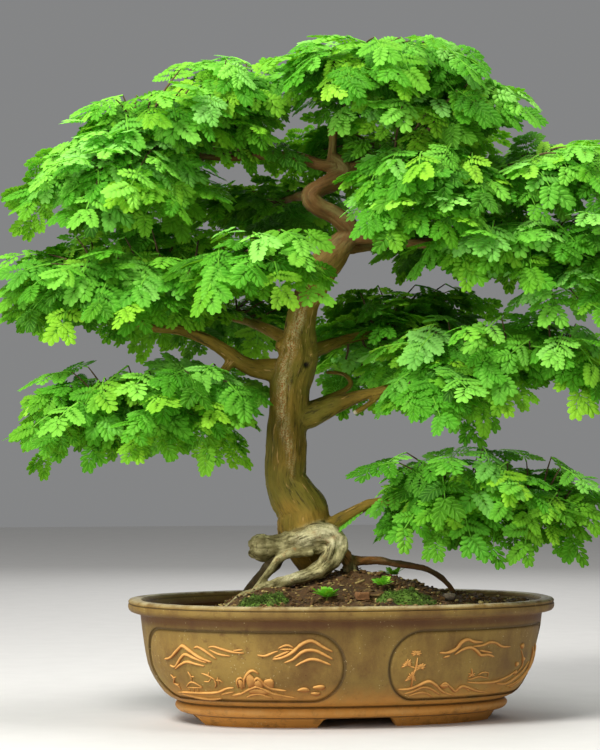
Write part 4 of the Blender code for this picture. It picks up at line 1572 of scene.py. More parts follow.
@dataclass(frozen=True)
class Pinna:
    """One side branch of a leaf: a thin axis with pairs of folded oblong leaflets, the largest
    pair at its tip.

    It lies along +X with its upper side towards +Z, and its UV map gives each leaflet's own
    (across, along) inside one cell of the leaf finish.
    """

    pairs: int = 5
    length: float = 17.0
    first: float = 8.6
    last: float = 12.4
    width: float = 6.2
    open_angle: float = 80.0
    shut_angle: float = 20.0
    fold: float = 0.13
    arch: float = 0.10

    def axis(self, share: float) -> Vector:
        """The axis at a share of its length, in millimetres."""
        return Vector((self.length * share, 0.0, self.length * self.arch * share * (1 - 1.9 * share)))

    def leaflet(self, share: float, side: int) -> tuple[list[Vector], list[tuple[float, float]]]:
        """Lay out one leaflet.

        Args:
            share: Where it leaves the axis.
            side: 1 for the left, -1 for the right.

        Returns:
            Its eight points and their UV places.
        """
        turned = self.open_angle + (self.shut_angle - self.open_angle) * share**1.5
        angle = math.radians(turned) * side
        long = self.first + (self.last - self.first) * math.sin(share * math.pi / 2)
        half = self.width * (0.66 + 0.34 * share) / 2
        along = Vector((math.cos(angle), math.sin(angle), 0))
        across = Vector((-math.sin(angle), math.cos(angle), 0))
        start = self.axis(share)
        points = [start, start + along * long * 0.5 + Vector((0, 0, half * self.fold))]
        places = [(0.5, 0.02), (0.5, 0.5)]
        for way in (1, -1):
            for t, w in ((0.28, 0.80), (0.72, 1.0), (0.97, 0.46)):
                sag = Vector((0, 0, -long * 0.10 * t * t - half * self.fold * 0.5 * w))
                points.append(start + along * long * t + across * way * half * w + sag)
                places.append((0.5 + way * 0.47 * w, t))
        return points, places

    def build(self) -> bpy.types.Object:
        """Build the pinna as one template mesh.

        Returns:
            The object, whose UV map is called OFBake.
        """
        points, faces, uvs = [], [], []
        for k in range(self.pairs):
            for side in (1, -1):
                leaflet, places = self.leaflet((k + 0.45) / (self.pairs - 0.55), side)
                base = len(points)
                points += [point * MM for point in leaflet]
                for face in ((0, 5, 1, 2), (1, 5, 6, 7), (1, 7, 4), (1, 4, 3, 2)):
                    faces.append([base + i for i in face])
                    uvs.append([places[i] for i in face])
        return template("pinna", points, faces, uvs)


def template(name: str, points: Sequence[Vector], faces: Sequence[Sequence[int]],
             uvs: Sequence[Sequence[tuple[float, float]]]) -> bpy.types.Object:
    """Make a template mesh with a UV map called OFBake, in the first cell.

    Args:
        name: The object's name.
        points: Its corners in metres.
        faces: Its faces.
        uvs: The place of each face corner inside a cell.

    Returns:
        The object, outside the scene.
    """
    mesh = bpy.data.meshes.new(name)
    mesh.from_pydata([tuple(p) for p in points], [], [list(face) for face in faces])
    layer = mesh.uv_layers.new(name="OFBake")
    flat = [value for face in uvs for place in face for value in place]
    layer.data.foreach_set("uv", flat)
    mesh.polygons.foreach_set("use_smooth", [False] * len(mesh.polygons))
    return bpy.data.objects.new(name, mesh)


def stalk_template() -> bpy.types.Object:
    """A thin arched leaf stalk of unit length along +X, coloured as a leaflet's rib."""
    rings, count = [], 3
    for share, radius in ((0.0, 0.034), (0.35, 0.026), (0.7, 0.022), (1.0, 0.015)):
        lift = 0.10 * share * (1 - 1.9 * share)
        rings.append([Vector((share, radius * math.cos(2.1 * k), lift + radius * math.sin(2.1 * k)))
                      for k in range(count)])
    points, faces = rings_skin(rings)
    return template("stalk", points, faces, [[(0.5, 0.5)] * len(face) for face in faces])


@dataclass
class LeafKit:
    """The templates that every leaf is made of, and how one leaf is put together."""

    graph: Graph
    shapes: bpy.types.Collection
    pinnae: int
    material: bpy.types.Material
    rng: random.Random

    @classmethod
    def make(cls) -> "LeafKit":
        """Build the templates.
        """
        kinds = [Pinna(), Pinna(6, 19.5), Pinna(4, 13.5, first=9.0), Pinna(fold=0.3, arch=0.16),
                 Pinna(6, 20.5, arch=0.02, fold=0.05),
                 Pinna(5, 16.0, open_angle=68, width=5.6, fold=0.4)]
        shapes = [kind.build() for kind in kinds] + [stalk_template()]
        return cls(scatter_graph(leaves=True), shape_set("leaf", shapes), len(kinds), LeafFinish().build(),
                   random.Random(SEED + 5))

    def leaf(self, scatter: Scatter, base: Vector, ahead: Vector, up: Vector, size: float,
             tone: float, shade: float) -> None:
        """Add one leaf: a slightly arched stalk with a fan of pinnae.

        Args:
            scatter: Where the leaf's shapes are added.
            base: Where its stalk leaves the twig.
            ahead: The way that it points.
            up: The way that its upper side faces.
            size: Its scale.
            tone: Its colour choice.
            shade: Its lightness choice.
        """
        rng = self.rng
        side = up.cross(ahead).normalized()
        ahead = side.cross(up).normalized()
        length = rng.uniform(28, 40) * MM * size
        turn = Matrix((ahead, side, up)).transposed()
        scatter.add(base, self.pinnae, turn, (length, length, length), 0.3, min(shade + 0.1, 1))
        spots = rng.choice(([(0.38, 78), (0.70, 56), (0.98, 24)], [(0.52, 70), (0.97, 27)],
                            [(0.46, 76), (0.76, 54), (0.99, 24)], [(0.48, 74), (0.98, 30)]))
        for share, angle in spots:
            for way in (1, -1):
                lift = 0.10 * share * (1 - 1.9 * share)
                place = base + ahead * length * share + up * length * lift
                swing = Matrix.Rotation(way * math.radians(angle + rng.uniform(-8, 8)), 3, "Z")
                droop = Matrix.Rotation(math.radians(4 + 12 * share + rng.uniform(-9, 12)), 3, "Y")
                roll = Matrix.Rotation(way * math.radians(rng.uniform(-10, 14)), 3, "X")
                scale = size * rng.uniform(0.86, 1.08) * (1.10 if share > 0.9 else 0.92)
                scatter.add(place, rng.randrange(self.pinnae), turn @ swing @ droop @ roll, scale,
                            min(max(tone + rng.uniform(-0.08, 0.08), 0), 1),
                            min(max(shade + rng.uniform(-0.07, 0.07), 0), 1))


@dataclass(frozen=True)
class Lump:
    """One rounded mass of twigs in a pad, placed by the pad's box."""

    twigs: int
    shift: Colour = (0.0, 0.0, 0.0)
    spread: Colour = (1.0, 1.0, 1.0)


@dataclass(frozen=True)
class Spray:
    """How one foliage node is filled: its branch, its lumps and how much painted shade it gets."""

    node: str
    branch: Rows
    lumps: tuple[Lump, ...]
    dark: float = 0.0


SPRAYS = (
    Spray("foliage_crown_top", LEADER + UPPER_RIGHT[:4] + UPPER_LEFT[:4],
          (Lump(38, (-26, 0, 2), (0.86, 1.0, 0.95)), Lump(14, (80, 0, -38), (0.46, 0.85, 0.60)),
           Lump(7, (-14, -16, -46), (0.35, 0.5, 0.35)))),
    Spray("foliage_crown_left", UPPER_LEFT[3:],
          (Lump(30, (12, 0, -17), (0.92, 1.0, 0.72)), Lump(14, (66, -8, 24), (0.56, 0.75, 0.62)))),
    Spray("foliage_crown_right", UPPER_RIGHT[4:],
          (Lump(26, (-4, 0, -30), (1.0, 1.0, 0.72)), Lump(8, (-50, -20, -44), (0.55, 0.7, 0.5)))),
    Spray("foliage_crown_back", BACK_CROWN[1:], (Lump(24),), 0.3),
    Spray("foliage_upper_left", UPPER_LEFT[5:], (Lump(34, (15, 0, 0), (0.90, 1.0, 0.95)),)),
    Spray("foliage_upper_back", BACK_UPPER[1:], (Lump(18),), 0.4),
    Spray("foliage_upper_right", UPPER_RIGHT[2:6],
          (Lump(26, (18, 0, 0), (0.84, 1.0, 0.98)), Lump(9, (-6, -46, -46), (0.66, 0.5, 0.4)))),
    Spray("foliage_shoulder_left", MIDDLE_LEFT[3:],
          (Lump(42, (0, 0, -6), (1.0, 1.0, 1.06)), Lump(10, (45, 20, 52), (0.8, 0.8, 0.3)))),
    Spray("foliage_shoulder_front", MIDDLE_LEFT[1:5], (Lump(15),)),
    Spray("foliage_shoulder_right", RIGHT_SHOULDER[1:],
          (Lump(28), Lump(13, (-98, -12, 12), (0.62, 0.6, 0.42)), Lump(8, (30, -10, -60), (0.7, 0.8, 0.4)))),
    Spray("foliage_shoulder_back", BACK_RIGHT[1:], (Lump(18),), 0.4),
    Spray("foliage_middle_back", BACK_LOWER[1:],
          (Lump(20), Lump(10, (14, -10, 44), (0.85, 0.9, 0.5)),
           Lump(7, (-50, -40, -60), (0.4, 0.5, 0.45))), 0.4),
    Spray("foliage_middle_right", MIDDLE_RIGHT[6:],
          (Lump(38, (0, 0, 10), (1.0, 1.0, 0.90)), Lump(9, (-92, -34, -34), (0.36, 0.5, 0.5)))),
    Spray("foliage_middle_left_back", BACK_LEFT[1:], (Lump(18),), 0.4),
    Spray("foliage_lower_left", DROOPING_LEFT[1:],
          (Lump(38, (-2, 0, 2), (0.96, 1.0, 1.0)), Lump(7, (30, -50, 40), (0.7, 0.5, 0.4)))),
    Spray("foliage_lower_right", LOWER_RIGHT[6:],
          (Lump(38, (0, 0, 2)), Lump(8, (-62, -34, 48), (0.6, 0.5, 0.4)))),
)


@dataclass
class Foliage:
    """The leaf pads and the twigs that carry them."""

    setting: Setting
    kit: LeafKit
    limits: tuple[Vector, Vector]
    reach: Colour = (0.052, 0.055, 0.022)
    back_starts: float = 60.0
    leaf_gap: float = 0.021
    seed: int = SEED

    def __post_init__(self) -> None:
        """Start with no twigs."""
        self.twigs: list[np.ndarray] = []

    def nearest(self, spray: Spray, point: Vector, rng: random.Random) -> Vector:
        """The place on the pad's branch that a twig to this point starts from.

        Args:
            spray: The pad's rule.
            point: The twig's tip.
            rng: The source of chance.

        Returns:
            The place, in metres.
        """
        places = [self.setting.tree(*row[:3]) for row in smooth_path(spray.branch, 8)]
        ranked = sorted(places, key=lambda place: (place - point).length)
        return ranked[min(rng.randrange(3), len(ranked) - 1)]

    def tips(self, middle: Vector, half: Vector, count: int, rng: random.Random) -> list[Vector]:
        """Spread twig tips over a pad's rounded outside.

        Args:
            middle: The middle of the pad.
            half: Half its size.
            count: How many tips.
            rng: The source of chance.

        Returns:
            The tips, in metres.
        """
        made = []
        least, most = self.limits
        for k in range(count):
            up = 0.80 - 1.30 * (k + rng.uniform(0.2, 0.8)) / count
            turn = k * GOLDEN_ANGLE + rng.uniform(-0.3, 0.3)
            level = math.sqrt(max(0.0, 1 - up * up)) * rng.uniform(0.70, 0.90)
            tip = Vector((middle.x + half.x * level * math.cos(turn),
                          middle.y + half.y * level * math.sin(turn),
                          middle.z + half.z * up * rng.uniform(0.85, 1.0)))
            made.append(Vector([min(max(tip[i], least[i] + self.reach[i]), most[i] - self.reach[i])
                                for i in range(3)]))
        return made

    def twig(self, start: Vector, tip: Vector, rng: random.Random) -> np.ndarray:
        """Grow one twig.

        Args:
            start: Its place on the branch.
            tip: Its end.
            rng: The source of chance.

        Returns:
            Rows of x, y, z, radius in metres.
        """
        span = tip - start
        lift = Vector((0, 0, span.length * 0.05))
        wander = Vector([rng.uniform(-1, 1) for _ in range(3)]) * span.length * 0.07
        keys = [start, start + span * 0.35 + lift * 0.8 + wander,
                start + span * 0.7 + lift + wander * 0.4, tip]
        radii = [2.1, 1.6, 1.2, 0.7]
        rows = smooth_path([(*(key / MM), radius) for key, radius in zip(keys, radii)], 9)
        return rows * MM

    def grow(self, spray: Spray) -> None:
        """Fill one foliage node with leaves.

        Args:
            spray: The pad's rule.
        """
        rng = random.Random(f"{self.seed} {spray.node}")
        self.kit.rng = rng
        pad_middle, pad_half = box_parts(spray.node)
        scatter = Scatter()
        for lump in spray.lumps:
            middle, half = pad_middle + Vector(lump.shift) * MM, pad_half * Vector(lump.spread)
            for tip in self.tips(middle, half, lump.twigs, rng):
                path = self.twig(self.nearest(spray, tip, rng), tip, rng)
                self.twigs.append(path)
                self.dress(scatter, path, middle, half, spray.dark, rng)
        name = spray.node.replace("foliage", "leaves")
        piece = scatter.build(name, self.kit.graph, self.kit.shapes, self.kit.material)
        settle(piece, Slot.LEAVES, spray.node)

    def facing(self, place: Vector, offset: Vector, rng: random.Random) -> Vector:
        """Choose the way that a leaf's upper side faces: up, outward and to the light.

        Args:
            place: Where the leaf is.
            offset: Where it is in its pad, in shares of the pad's half size.
            rng: The source of chance.

        Returns:
            The leaf's normal.
        """
        light = -1.0 if self.setting.flat(place)[1] < self.back_starts else 1.0
        sway = Vector((rng.uniform(-0.3, 0.3), rng.uniform(-0.3, 0.3), 0))
        outward = Vector((offset.x, offset.y, 0)) * 0.34
        lean = Vector((0.18 * light, light, 0)) * (rng.uniform(0.0, 0.85) - 0.25 * offset.z)
        return (lean + outward + sway + Vector((0, 0, 0.85))).normalized()

    def dress(self, scatter: Scatter, path: np.ndarray, middle: Vector, half: Vector, dark: float,
              rng: random.Random) -> None:
        """Set leaves along the outer part of one twig.

        Args:
            scatter: Where they are added.
            path: The twig's rows.
            middle: The middle of the pad.
            half: Half the pad's size.
            dark: How much more painted shade than the others the pad gets.
            rng: The source of chance.
        """
        points = [Vector(row[:3]) for row in path]
        total = sum((b - a).length for a, b in zip(points, points[1:]))
        reach = min(total * 0.8, 0.1)
        count = max(3, round(reach / self.leaf_gap))
        hue, glow = rng.uniform(-0.22, 0.18), rng.uniform(-0.08, 0.1)
        for k in range(count + 1):
            place, ahead = self.walk_back(points, reach * k / count)
            way = 0 if k == 0 else (1 if k % 2 else -1)
            turn = way * math.radians(rng.uniform(40, 75)) + rng.uniform(-0.2, 0.2)
            heading = Vector((ahead.x, ahead.y, min(ahead.z, 0.3)))
            heading = heading if heading.length > 1e-4 else Vector((1, 0, 0))
            heading.rotate(Euler((0, 0, turn)))
            offset = Vector([(place[i] - middle[i]) / half[i] for i in range(3)])
            out = min(offset.length, 1.1)
            # shade picks the row: painted shade, darker deep in the pad and in dark pads, lighter on top and
            # outside
            shade = 0.08 + glow + 0.28 * offset.z + 0.54 * out**2 - dark * 0.5
            shade += rng.uniform(-0.16, 0.18)
            # tone picks the column: higher leaves get more of the painted bluish sheen
            tone = 0.44 + hue + 0.30 * offset.z + rng.uniform(-0.16, 0.14)
            if rng.random() < 0.07:
                tone, shade = rng.uniform(0, 0.2), shade + 0.15
            self.kit.leaf(scatter, place, heading, self.facing(place, offset, rng),
                          rng.uniform(0.92, 1.18), min(max(tone, 0), 1), min(max(shade, 0.02), 1))

    @staticmethod
    def walk_back(points: list[Vector], back: float) -> tuple[Vector, Vector]:
        """Find a place on a path by its distance from the tip.

        Args:
            points: The path.
            back: The distance from its end, in metres.

        Returns:
            The place and the direction of growth there.
        """
        for after, before in zip(points[::-1], points[-2::-1]):
            step = (after - before).length
            if back <= step:
                return after.lerp(before, back / step), (after - before).normalized()
            back -= step
        return points[0], (points[1] - points[0]).normalized()

    def build(self) -> None:
        """Build every pad and the twigs."""
        for spray in SPRAYS:
            self.grow(spray)
        twigs = chain_object("twigs", self.twigs)
        wood = EarthFinish("twig bark", (0.050, 0.030, 0.012), (0.150, 0.095, 0.040),
                           (0.260, 0.190, 0.100), spots=240, depth=0.0004).build()
        tube_graph(6).apply(twigs, {"Material": wood})
        settle(twigs, Slot.BARK)


# ---------------------------------------------------------------- the wood


@dataclass
class Wood:
    """The trunk, the branches and the roots, as one skin."""

    setting: Setting
    voxel: float = 1.9
    sides: int = 20
    # Where the bark peels, as (height, across); then a hollow that gets painted shade, root crests that get a
    # painted highlight, and saw cuts.
    flaking_line: Rows = ((300, -62), (330, -64), (365, -73), (400, -76), (440, -72), (480, -60),
                          (520, -48), (560, -40))
    hollow: tuple[Colour, Colour] = ((-43, -21, 441), (5.0, 8.0, 4.2))
    highlight_crests: Rows = ((-20, -38, 234), (-44, -40, 226), (-8, -40, 222), (-60, -56, 183))
    highlight_size: Colour = (20, 22, 10)
    cuts: Rows = ((14, -20, 381, 4.5), (-10.5, -1, 742, 3.0))

    def tube(self, route: Rows) -> tuple[np.ndarray, np.ndarray, np.ndarray, list[list[Vector]]]:
        """Sweep one route.

        Args:
            route: Rows of (across, back, up, radius).

        Returns:
            Its centres in the tree's directions, its radii, the three directions at each centre
            and the rings in metres.
        """
        path = smooth_path(route, 5)
        centres, radii = path[:, :3], np.maximum(path[:, 3], 1.8)
        rings, frames, side = [], [], np.array([0.3, 0.9, 0.2])
        for i, (centre, radius) in enumerate(zip(centres, radii)):
            ahead = centres[min(i + 1, len(path) - 1)] - centres[max(i - 1, 0)]
            ahead = ahead / np.linalg.norm(ahead)
            side = side - ahead * (side @ ahead)
            side /= np.linalg.norm(side)
            other = np.cross(ahead, side)
            frames.append((side, other, ahead))
            ring = []
            for k in range(self.sides):
                turn = 2 * math.pi * k / self.sides
                lobes = 1 + 0.05 * math.sin(2 * turn + centre[2] * 0.021)
                lobes += 0.03 * math.sin(3 * turn + centre[2] * 0.013)
                point = centre + radius * lobes * (math.cos(turn) * side + math.sin(turn) * other)
                ring.append(self.setting.tree(*point))
            rings.append(ring)
        return centres, radii, np.array(frames), rings

    def build(self) -> None:
        """Build the wood and fix it to the frame."""
        points, faces, samples = [], [], []
        for route, tissue in [(route, tissue) for tissue, routes in LIMBS for route in routes]:
            centres, radii, frames, rings = self.tube(route)
            ring_points, ring_faces = rings_skin(rings)
            faces += [[index + len(points) for index in face] for face in ring_faces]
            points += ring_points
            samples.append((centres, radii, frames, tissue))
        bark = BarkFinish().build()
        wood = mesh_object("trunk_and_roots", points, faces, bark)
        remesh = wood.modifiers.new("one skin", "REMESH")
        remesh.mode, remesh.voxel_size, remesh.use_smooth_shade = "VOXEL", self.voxel * MM, True
        soft = wood.modifiers.new("soft joins", "SMOOTH")
        soft.factor, soft.iterations = 0.5, 4
        keep_result(wood)
        wood.data.materials.clear()
        wood.data.materials.append(bark)
        self.carve(wood.data, samples)
        settle(wood, Slot.BARK, "trunk")

    def nearest(self, tree: np.ndarray,
                samples: Sequence[tuple]) -> tuple[np.ndarray, np.ndarray, np.ndarray]:
        """Find which limb each point belongs to.

        Args:
            tree: Points in the tree's directions.
            samples: Centres, radii, directions and tissue of every route.

        Returns:
            The tissue's number, the limb's radius and the place in the limb of each point.
        """
        count, kinds = len(tree), list(Tissue)
        best, owner, girth = np.full(count, 1e9), np.zeros(count, int), np.zeros(count)
        grain = np.zeros((count, 3))
        for number, (centres, radii, frames, tissue) in enumerate(samples):
            along = np.concatenate([[0], np.cumsum(np.linalg.norm(np.diff(centres, axis=0), axis=1))])
            for start in range(0, count, 20000):
                part = tree[start:start + 20000]
                gap = np.linalg.norm(part[:, None] - centres[None], axis=2) - radii[None]
                index = gap.argmin(axis=1)
                near = gap[np.arange(len(part)), index]
                better = np.flatnonzero(near < best[start:start + 20000])
                at = better + start
                best[at], owner[at] = near[better], kinds.index(tissue)
                girth[at] = radii[index][better]
                offset = part[better] - centres[index][better]
                local = np.einsum("pij,pj->pi", frames[index][better], offset)
                local[:, 2] += along[index][better] + 37.0 * number
                grain[at] = local
        return owner, girth, grain

    def carve(self, mesh: bpy.types.Mesh, samples: Sequence[tuple]) -> None:
        """Roughen the skin and store what the finish needs to know.

        Args:
            mesh: The wood's mesh.
            samples: Centres, radii, directions and tissue of every route.
        """
        count, kinds = len(mesh.vertices), list(Tissue)
        flat = np.zeros(count * 3, np.float32)
        mesh.vertices.foreach_get("co", flat)
        places = flat.reshape(-1, 3).astype(float)
        tree = self.setting.tree_of(places)
        owner, girth, grain = self.nearest(tree, samples)
        normals = np.zeros(count * 3, np.float32)
        mesh.vertices.foreach_get("normal", normals)
        normals = normals.reshape(-1, 3)
        across, back, up = tree.T
        rusty = owner == kinds.index(Tissue.RUSTY_ROOT)
        rooty = rusty | (owner == kinds.index(Tissue.ROOT))
        push = np.zeros(count)
        for i, (a, b, z) in enumerate(tree):
            p, q, r = grain[i]
            ridge = noise.noise((p / 6.5, q / 6.5, r / 42))
            if rooty[i]:
                push[i] = 1.7 * ridge + 2.6 * noise.noise((a / 15, b / 15, z / 15))
                push[i] += 1.1 * noise.noise((p / 3, q / 3, r / 14))
                push[i] -= 9.0 * max(0.0, 0.16 - abs(noise.noise((p / 9, q / 9, r / 60 + 5))))
                twist = 3 * math.atan2(q, p) + r / 15 + 2.4 * noise.noise((a / 22, b / 22, z / 22))
                push[i] += 2.0 * math.sin(twist) + 2.0 * max(0.0, noise.noise((a / 9, b / 9, z / 9 + 3)))
            else:
                push[i] = 1.0 * ridge + 2.1 * noise.noise((a / 17, b / 17, z / 22))
                push[i] += 0.5 * noise.noise((p / 2.8, q / 2.8, r / 9))
                push[i] += 1.3 * max(0.0, noise.noise((a / 8, b / 8, z / 8)) - 0.25)
        push *= np.clip(girth / 15, 0.2, 1.0)
        line = np.interp(up, *np.transpose(self.flaking_line))
        line += np.array([3.0 * noise.noise((z / 14, 3.0, 1.0)) for z in up])
        strip = np.clip(1 - np.abs(across - line) / np.interp(up, [310, 440, 560], [7, 13, 7]), 0, 1)
        strip *= (back < 0) * np.clip((up - 290) / 40, 0, 1) * np.clip((590 - up) / 60, 0, 1) * ~rooty
        push += strip * np.array([2.2 * noise.noise((a / 3.5, b / 3.5, z / 10)) for a, b, z in tree])
        place, size = self.hollow
        hollow = np.clip(1.25 - np.linalg.norm((tree - place) / size, axis=1), 0, 1)
        push -= hollow * 4.5
        places += normals * push[:, None] * MM
        mesh.vertices.foreach_set("co", places.astype(np.float32).ravel().tolist())
        store(mesh, "grain", grain * (MM, MM, 0.14 * MM), "FLOAT_VECTOR")
        store(mesh, "pale", self.soften(mesh, rooty.astype(float), 5))
        store(mesh, "rusty", self.soften(mesh, rusty.astype(float), 5))
        store(mesh, "warm", np.clip((up - 545) / 50, 0, 1) * np.clip(1.2 - (up - 640) / 220, 0.3, 1))
        store(mesh, "flake", strip)
        # low: painted shade on the roots low at the back, and darker below 150 mm
        shaded = np.clip((218 - up) / 20, 0, 1) * np.clip((back + 6) / 14, 0, 1)
        store(mesh, "low", np.maximum(shaded, np.clip((150 - up) / 14, 0, 1) * 0.7))
        # hollow: where the sunk hollow gets painted shade
        store(mesh, "hollow", np.clip(hollow * 1.6, 0, 1))
        # spots of painted highlight on the root crests
        crest = np.zeros(count)
        for place in self.highlight_crests:
            crest = np.maximum(crest, 1.25 - np.linalg.norm((tree - place) / self.highlight_size, axis=1))
        store(mesh, "root_highlight", np.clip(crest, 0, 1))
        cut = np.zeros(count)
        for a, b, z, reach in self.cuts:
            cut = np.maximum(cut, np.linalg.norm(tree - (a, b, z), axis=1) < reach)
        store(mesh, "cut", cut)
        mesh.update()

    @staticmethod
    def soften(mesh: bpy.types.Mesh, values: np.ndarray, rounds: int) -> np.ndarray:
        """Average a value over neighbouring points.

        Args:
            mesh: The mesh.
            values: One value for each point.
            rounds: How often.

        Returns:
            The softened values.
        """
        edges = np.zeros(len(mesh.edges) * 2, np.int32)
        mesh.edges.foreach_get("vertices", edges)
        first, second = edges.reshape(-1, 2).T
        size = np.bincount(edges, minlength=len(values)) + 1
        for _ in range(rounds):
            total = values.copy()
            np.add.at(total, first, values[second])
            np.add.at(total, second, values[first])
            values = total / size
        return values


# ---------------------------------------------------------------- ground cover


@dataclass
class GroundCover:
    """Moss, small weeds and loose stones on the soil."""

    setting: Setting
    bed: SoilBed
    kit: LeafKit

    def dome(self, name: str, node: str, material: bpy.types.Material, rough: float,
             spot: float) -> bpy.types.Object:
        """Make an uneven low dome in a node's box, sunk a little in the soil.

        Args:
            name: The object's name.
            node: The CAD node.
            material: Its finish.
            rough: Its unevenness in millimetres.
            spot: The size of its bumps in millimetres.

        Returns:
            The object.
        """
        middle, half = box_parts(node)
        rings, rise = [], half.z * 1.24
        for share, lift in [(0.3, -1), (1.0, -1)] + [(1 - k / 9, k) for k in range(9)]:
            ring = []
            for k in range(44):
                turn = 2 * math.pi * k / 44
                edge = 1 + 0.12 * noise.noise((3 * math.cos(turn), 3 * math.sin(turn), middle.x * 40))
                x = middle.x + half.x * share * edge * math.cos(turn)
                y = middle.y + half.y * share * edge * math.sin(turn)
                px, py = self.setting.flat(Vector((x, y)))
                ground = self.bed.height(px, py) * MM
                bump = rough * MM * noise.fractal((px / spot, py / spot, 1.0), 0.8, 2.0, 4)
                top = ground + rise * (1 - share**2) + bump + 0.0008
                ring.append(Vector((x, y, ground - 0.003 if lift < 0 else top)))
            rings.append(ring)
        return mesh_object(name, *rings_skin(rings), material)

    def moss(self, node: str) -> None:
        """Build one moss cushion with upright shoots.

        Args:
            node: The CAD node.
        """
        rng = random.Random(f"moss {node}")
        green = EarthFinish("moss", (0.040, 0.030, 0.005), (0.100, 0.210, 0.016), (0.280, 0.560, 0.050),
                            spots=300, depth=0.0016).build()
        cushion = self.dome("cushion", node, green, 3.4, 9)
        shoots = Scatter()
        for polygon in cushion.data.polygons:
            if polygon.normal.z < 0.5 or rng.random() < 0.25:
                continue
            turn = Euler((rng.uniform(-0.4, 0.4), rng.uniform(-0.4, 0.4), rng.uniform(0, 6.3)))
            shoots.add(polygon.center.copy(), 0, turn, MM * rng.uniform(1.6, 4.2), rng.random())
        blades = []
        for a in (0, 1.256, 2.512, 3.768, 5.024):
            wide = Vector((-math.sin(a), math.cos(a), 0)) * 0.22
            blades += [wide, -wide, Vector((math.cos(a) * 0.8, math.sin(a) * 0.8, 1.0))]
        faces = [[3 * k, 3 * k + 1, 3 * k + 2] for k in range(5)]
        shape = mesh_object("shoot", blades, faces, None, closed=False)
        tuft = shoots.build("tuft", scatter_graph(), shape_set(f"shoot_{node}", [shape]), green)
        settle(merge(f"{node}_cushion", [cushion, tuft]), Slot.MOSS, node)

    def weed(self, node: str, fronds: int, upright: float) -> None:
        """Build one small weed of feathery leaves.

        Args:
            node: The CAD node.
            fronds: How many leaves.
            upright: How steeply they stand, 0 to 1.
        """
        rng = random.Random(f"weed {node}")
        middle, half = box_parts(node)
        scatter = Scatter()
        px, py = self.setting.flat(middle)
        root = self.setting.pot(px, py, self.bed.height(px, py) - 1)
        stem = (middle.z + half.z - root.z) * (0.45 if upright > 0.5 else 0.12)
        straight_up = Matrix.Rotation(-math.pi / 2, 3, "Y")
        scatter.add(root, self.kit.pinnae, straight_up, max(stem, 0.004) * 1.05, 0.5, 0.5)
        for k in range(fronds):
            turn = k * 2.4 + rng.uniform(-0.3, 0.3)
            climb = math.radians(4 + 66 * upright * rng.uniform(0.2, 1.25))
            heading = Matrix.Rotation(turn, 3, "Z") @ Matrix.Rotation(-climb, 3, "Y")
            size = min(half.x, half.y) / 0.021 * rng.uniform(0.5, 1.15)
            place = root + Vector((math.cos(turn) * 0.0015, math.sin(turn) * 0.0015, stem))
            tone, shade = rng.uniform(0, 0.5), rng.uniform(0.65, 0.95)
            scatter.add(place, k % self.kit.pinnae, heading, size, tone, shade)
        piece = scatter.build(f"{node}_plant", self.kit.graph, self.kit.shapes, self.kit.material)
        settle(piece, Slot.WEED, node)

    def stone(self, node: str, colour: Colour, blocky: float) -> None:
        """Build one stone in its node's box.

        Args:
            node: The CAD node.
            colour: Its main colour.
            blocky: 0 for a pebble and 1 for a flat chip.
        """
        middle, half = box_parts(node)
        shape = bmesh.new()
        bmesh.ops.create_icosphere(shape, subdivisions=4, radius=1.0)
        for vertex in shape.verts:
            point = vertex.co.copy()
            hard = Vector([math.copysign(min(abs(v) * (1 + blocky), 0.72), v) / 0.72 for v in point])
            point = point.lerp(hard, blocky * 0.8) * (1 + 0.16 * noise.noise(point * 1.6 + middle * 50))
            vertex.co = Vector((middle.x + point.x * half.x, middle.y + point.y * half.y,
                                middle.z + point.z * half.z * 0.95))
        finish = EarthFinish(f"{node} finish", tuple(c * 0.5 for c in colour), colour,
                             tuple(min(c * 1.6, 1) for c in colour), spots=240, depth=0.0008).build()
        piece = new_object(f"{node}_piece", plain_mesh(node, shape, finish))
        settle(piece, Slot.STONE, node)

    def build(self) -> None:
        """Build everything that lies or grows on the soil."""
        for node in ("moss_front_left", "moss_front_right", "moss_back"):
            self.moss(node)
        for node, fronds, upright in (("weed_front", 20, 0.75), ("weed_right", 16, 0.7),
                                      ("weed_behind_stump", 8, 0.9)):
            self.weed(node, fronds, upright)
        for node, colour, blocky in (("stone_flat", (0.260, 0.120, 0.040), 0.8),
                                     ("stone_left", (0.200, 0.170, 0.120), 0.1),
                                     ("stone_right", (0.240, 0.190, 0.130), 0.2)):
            self.stone(node, colour, blocky)


# ---------------------------------------------------------------- the studio


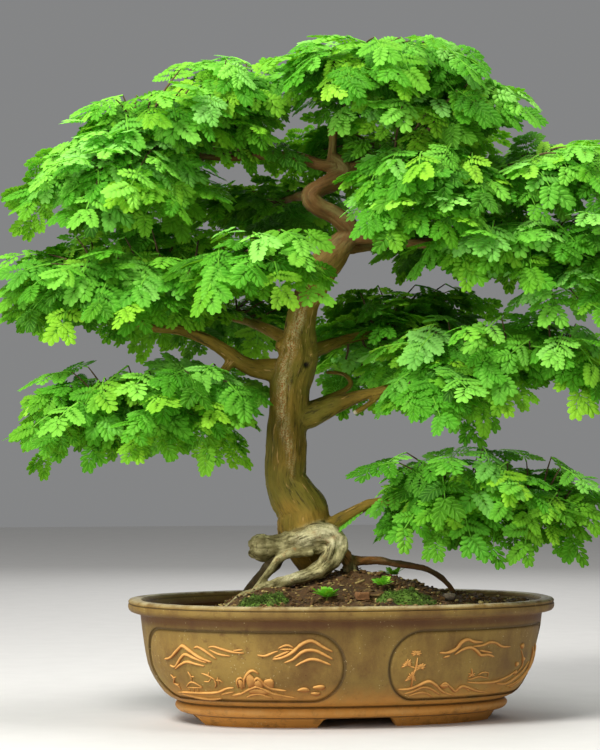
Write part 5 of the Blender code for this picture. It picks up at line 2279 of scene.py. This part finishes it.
@dataclass
class Studio:
    """A pale floor, soft lights and the camera."""

    setting: Setting
    distance: float = 3.2
    height: float = 0.367
    aside: float = -0.0525
    focal: float = 122.9
    rise: float = 0.066
    target: Vector = field(default_factory=lambda: Vector((0, 0, 0.42)))

    def floor(self) -> None:
        """Lay the floor."""
        rings = [[Vector((x, y, z)) for x, y in ((-4, -4), (4, -4), (4, 6), (-4, 6))] for z in (-0.02, 0.0)]
        paper = PlainFinish("studio paper", (0.72, 0.71, 0.69), 0.8, 20).build()
        slab = mesh_object("studio_floor", *rings_skin(rings), paper)
        slab.data.polygons.foreach_set("use_smooth", [False] * len(slab.data.polygons))
        slab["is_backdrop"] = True

    def light(self, name: str, place: Vector, size: float, power: float, colour: Colour) -> None:
        """Hang one soft light that faces the tree.

        Args:
            name: Its name.
            place: Where it hangs.
            size: Its side in metres.
            power: Its power in watts.
            colour: Its colour.
        """
        lamp = bpy.data.lights.new(name, "AREA")
        lamp.size, lamp.energy, lamp.color = size, power, colour
        obj = new_object(name, lamp)
        obj.location = place
        obj.rotation_euler = (self.target - place).to_track_quat("-Z", "Y").to_euler()

    def camera(self) -> None:
        """Set the camera at the tree's best side."""
        lens = bpy.data.cameras.new("camera")
        lens.sensor_width, lens.lens, lens.shift_y = 36.0, self.focal, self.rise
        obj = new_object("camera", lens)
        obj.location = self.setting.tree(self.aside / MM, -self.distance / MM, self.height / MM)
        obj.rotation_euler = (math.pi / 2, 0, self.setting.turn)
        bpy.context.scene.camera = obj

    def build(self) -> None:
        """Set up the whole studio."""
        self.floor()
        for name, place, size, power, colour in (
                ("key light", (-1.5, -1.4, 2.6), 0.9, 100, (1.0, 0.985, 0.95)),
                ("front light", (-2.8, -2.0, 0.9), 1.3, 42, (1.0, 0.98, 0.95)),
                ("top light", (0.4, -0.2, 2.6), 1.2, 34, (1.0, 0.99, 0.96)),
                ("back light", (0.6, 2.6, 1.6), 1.6, 14, (1.0, 1.0, 1.0))):
            self.light(name, Vector(place), size, power, colour)
        world = bpy.data.worlds.new("studio")
        world.use_nodes = True
        air = world.node_tree.nodes["Background"].inputs
        air[0].default_value, air[1].default_value = (0.86, 0.87, 0.88, 1), 0.27
        bpy.context.scene.world = world
        bpy.context.scene.view_settings.view_transform = "Standard"
        self.camera()


def main() -> None:
    """Build the plant around the frame."""
    logging.basicConfig(level=logging.INFO, format="%(message)s")
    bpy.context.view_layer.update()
    low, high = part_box("pot")
    setting = Setting((low + high) / 2)
    wall = Wall()
    Pot(setting, wall).build()
    Reliefs(setting, wall).build()
    for node in ("drain_mesh_left", "drain_mesh_right"):
        DrainMesh(node).build()
    bed = SoilBed(setting)
    bed.build()
    Litter(setting, bed).build()
    Wood(setting).build()
    kit = LeafKit.make()
    Foliage(setting, kit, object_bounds()).build()
    GroundCover(setting, bed, kit).build()
    Studio(setting).build()


if __name__ == "__main__":
    main()
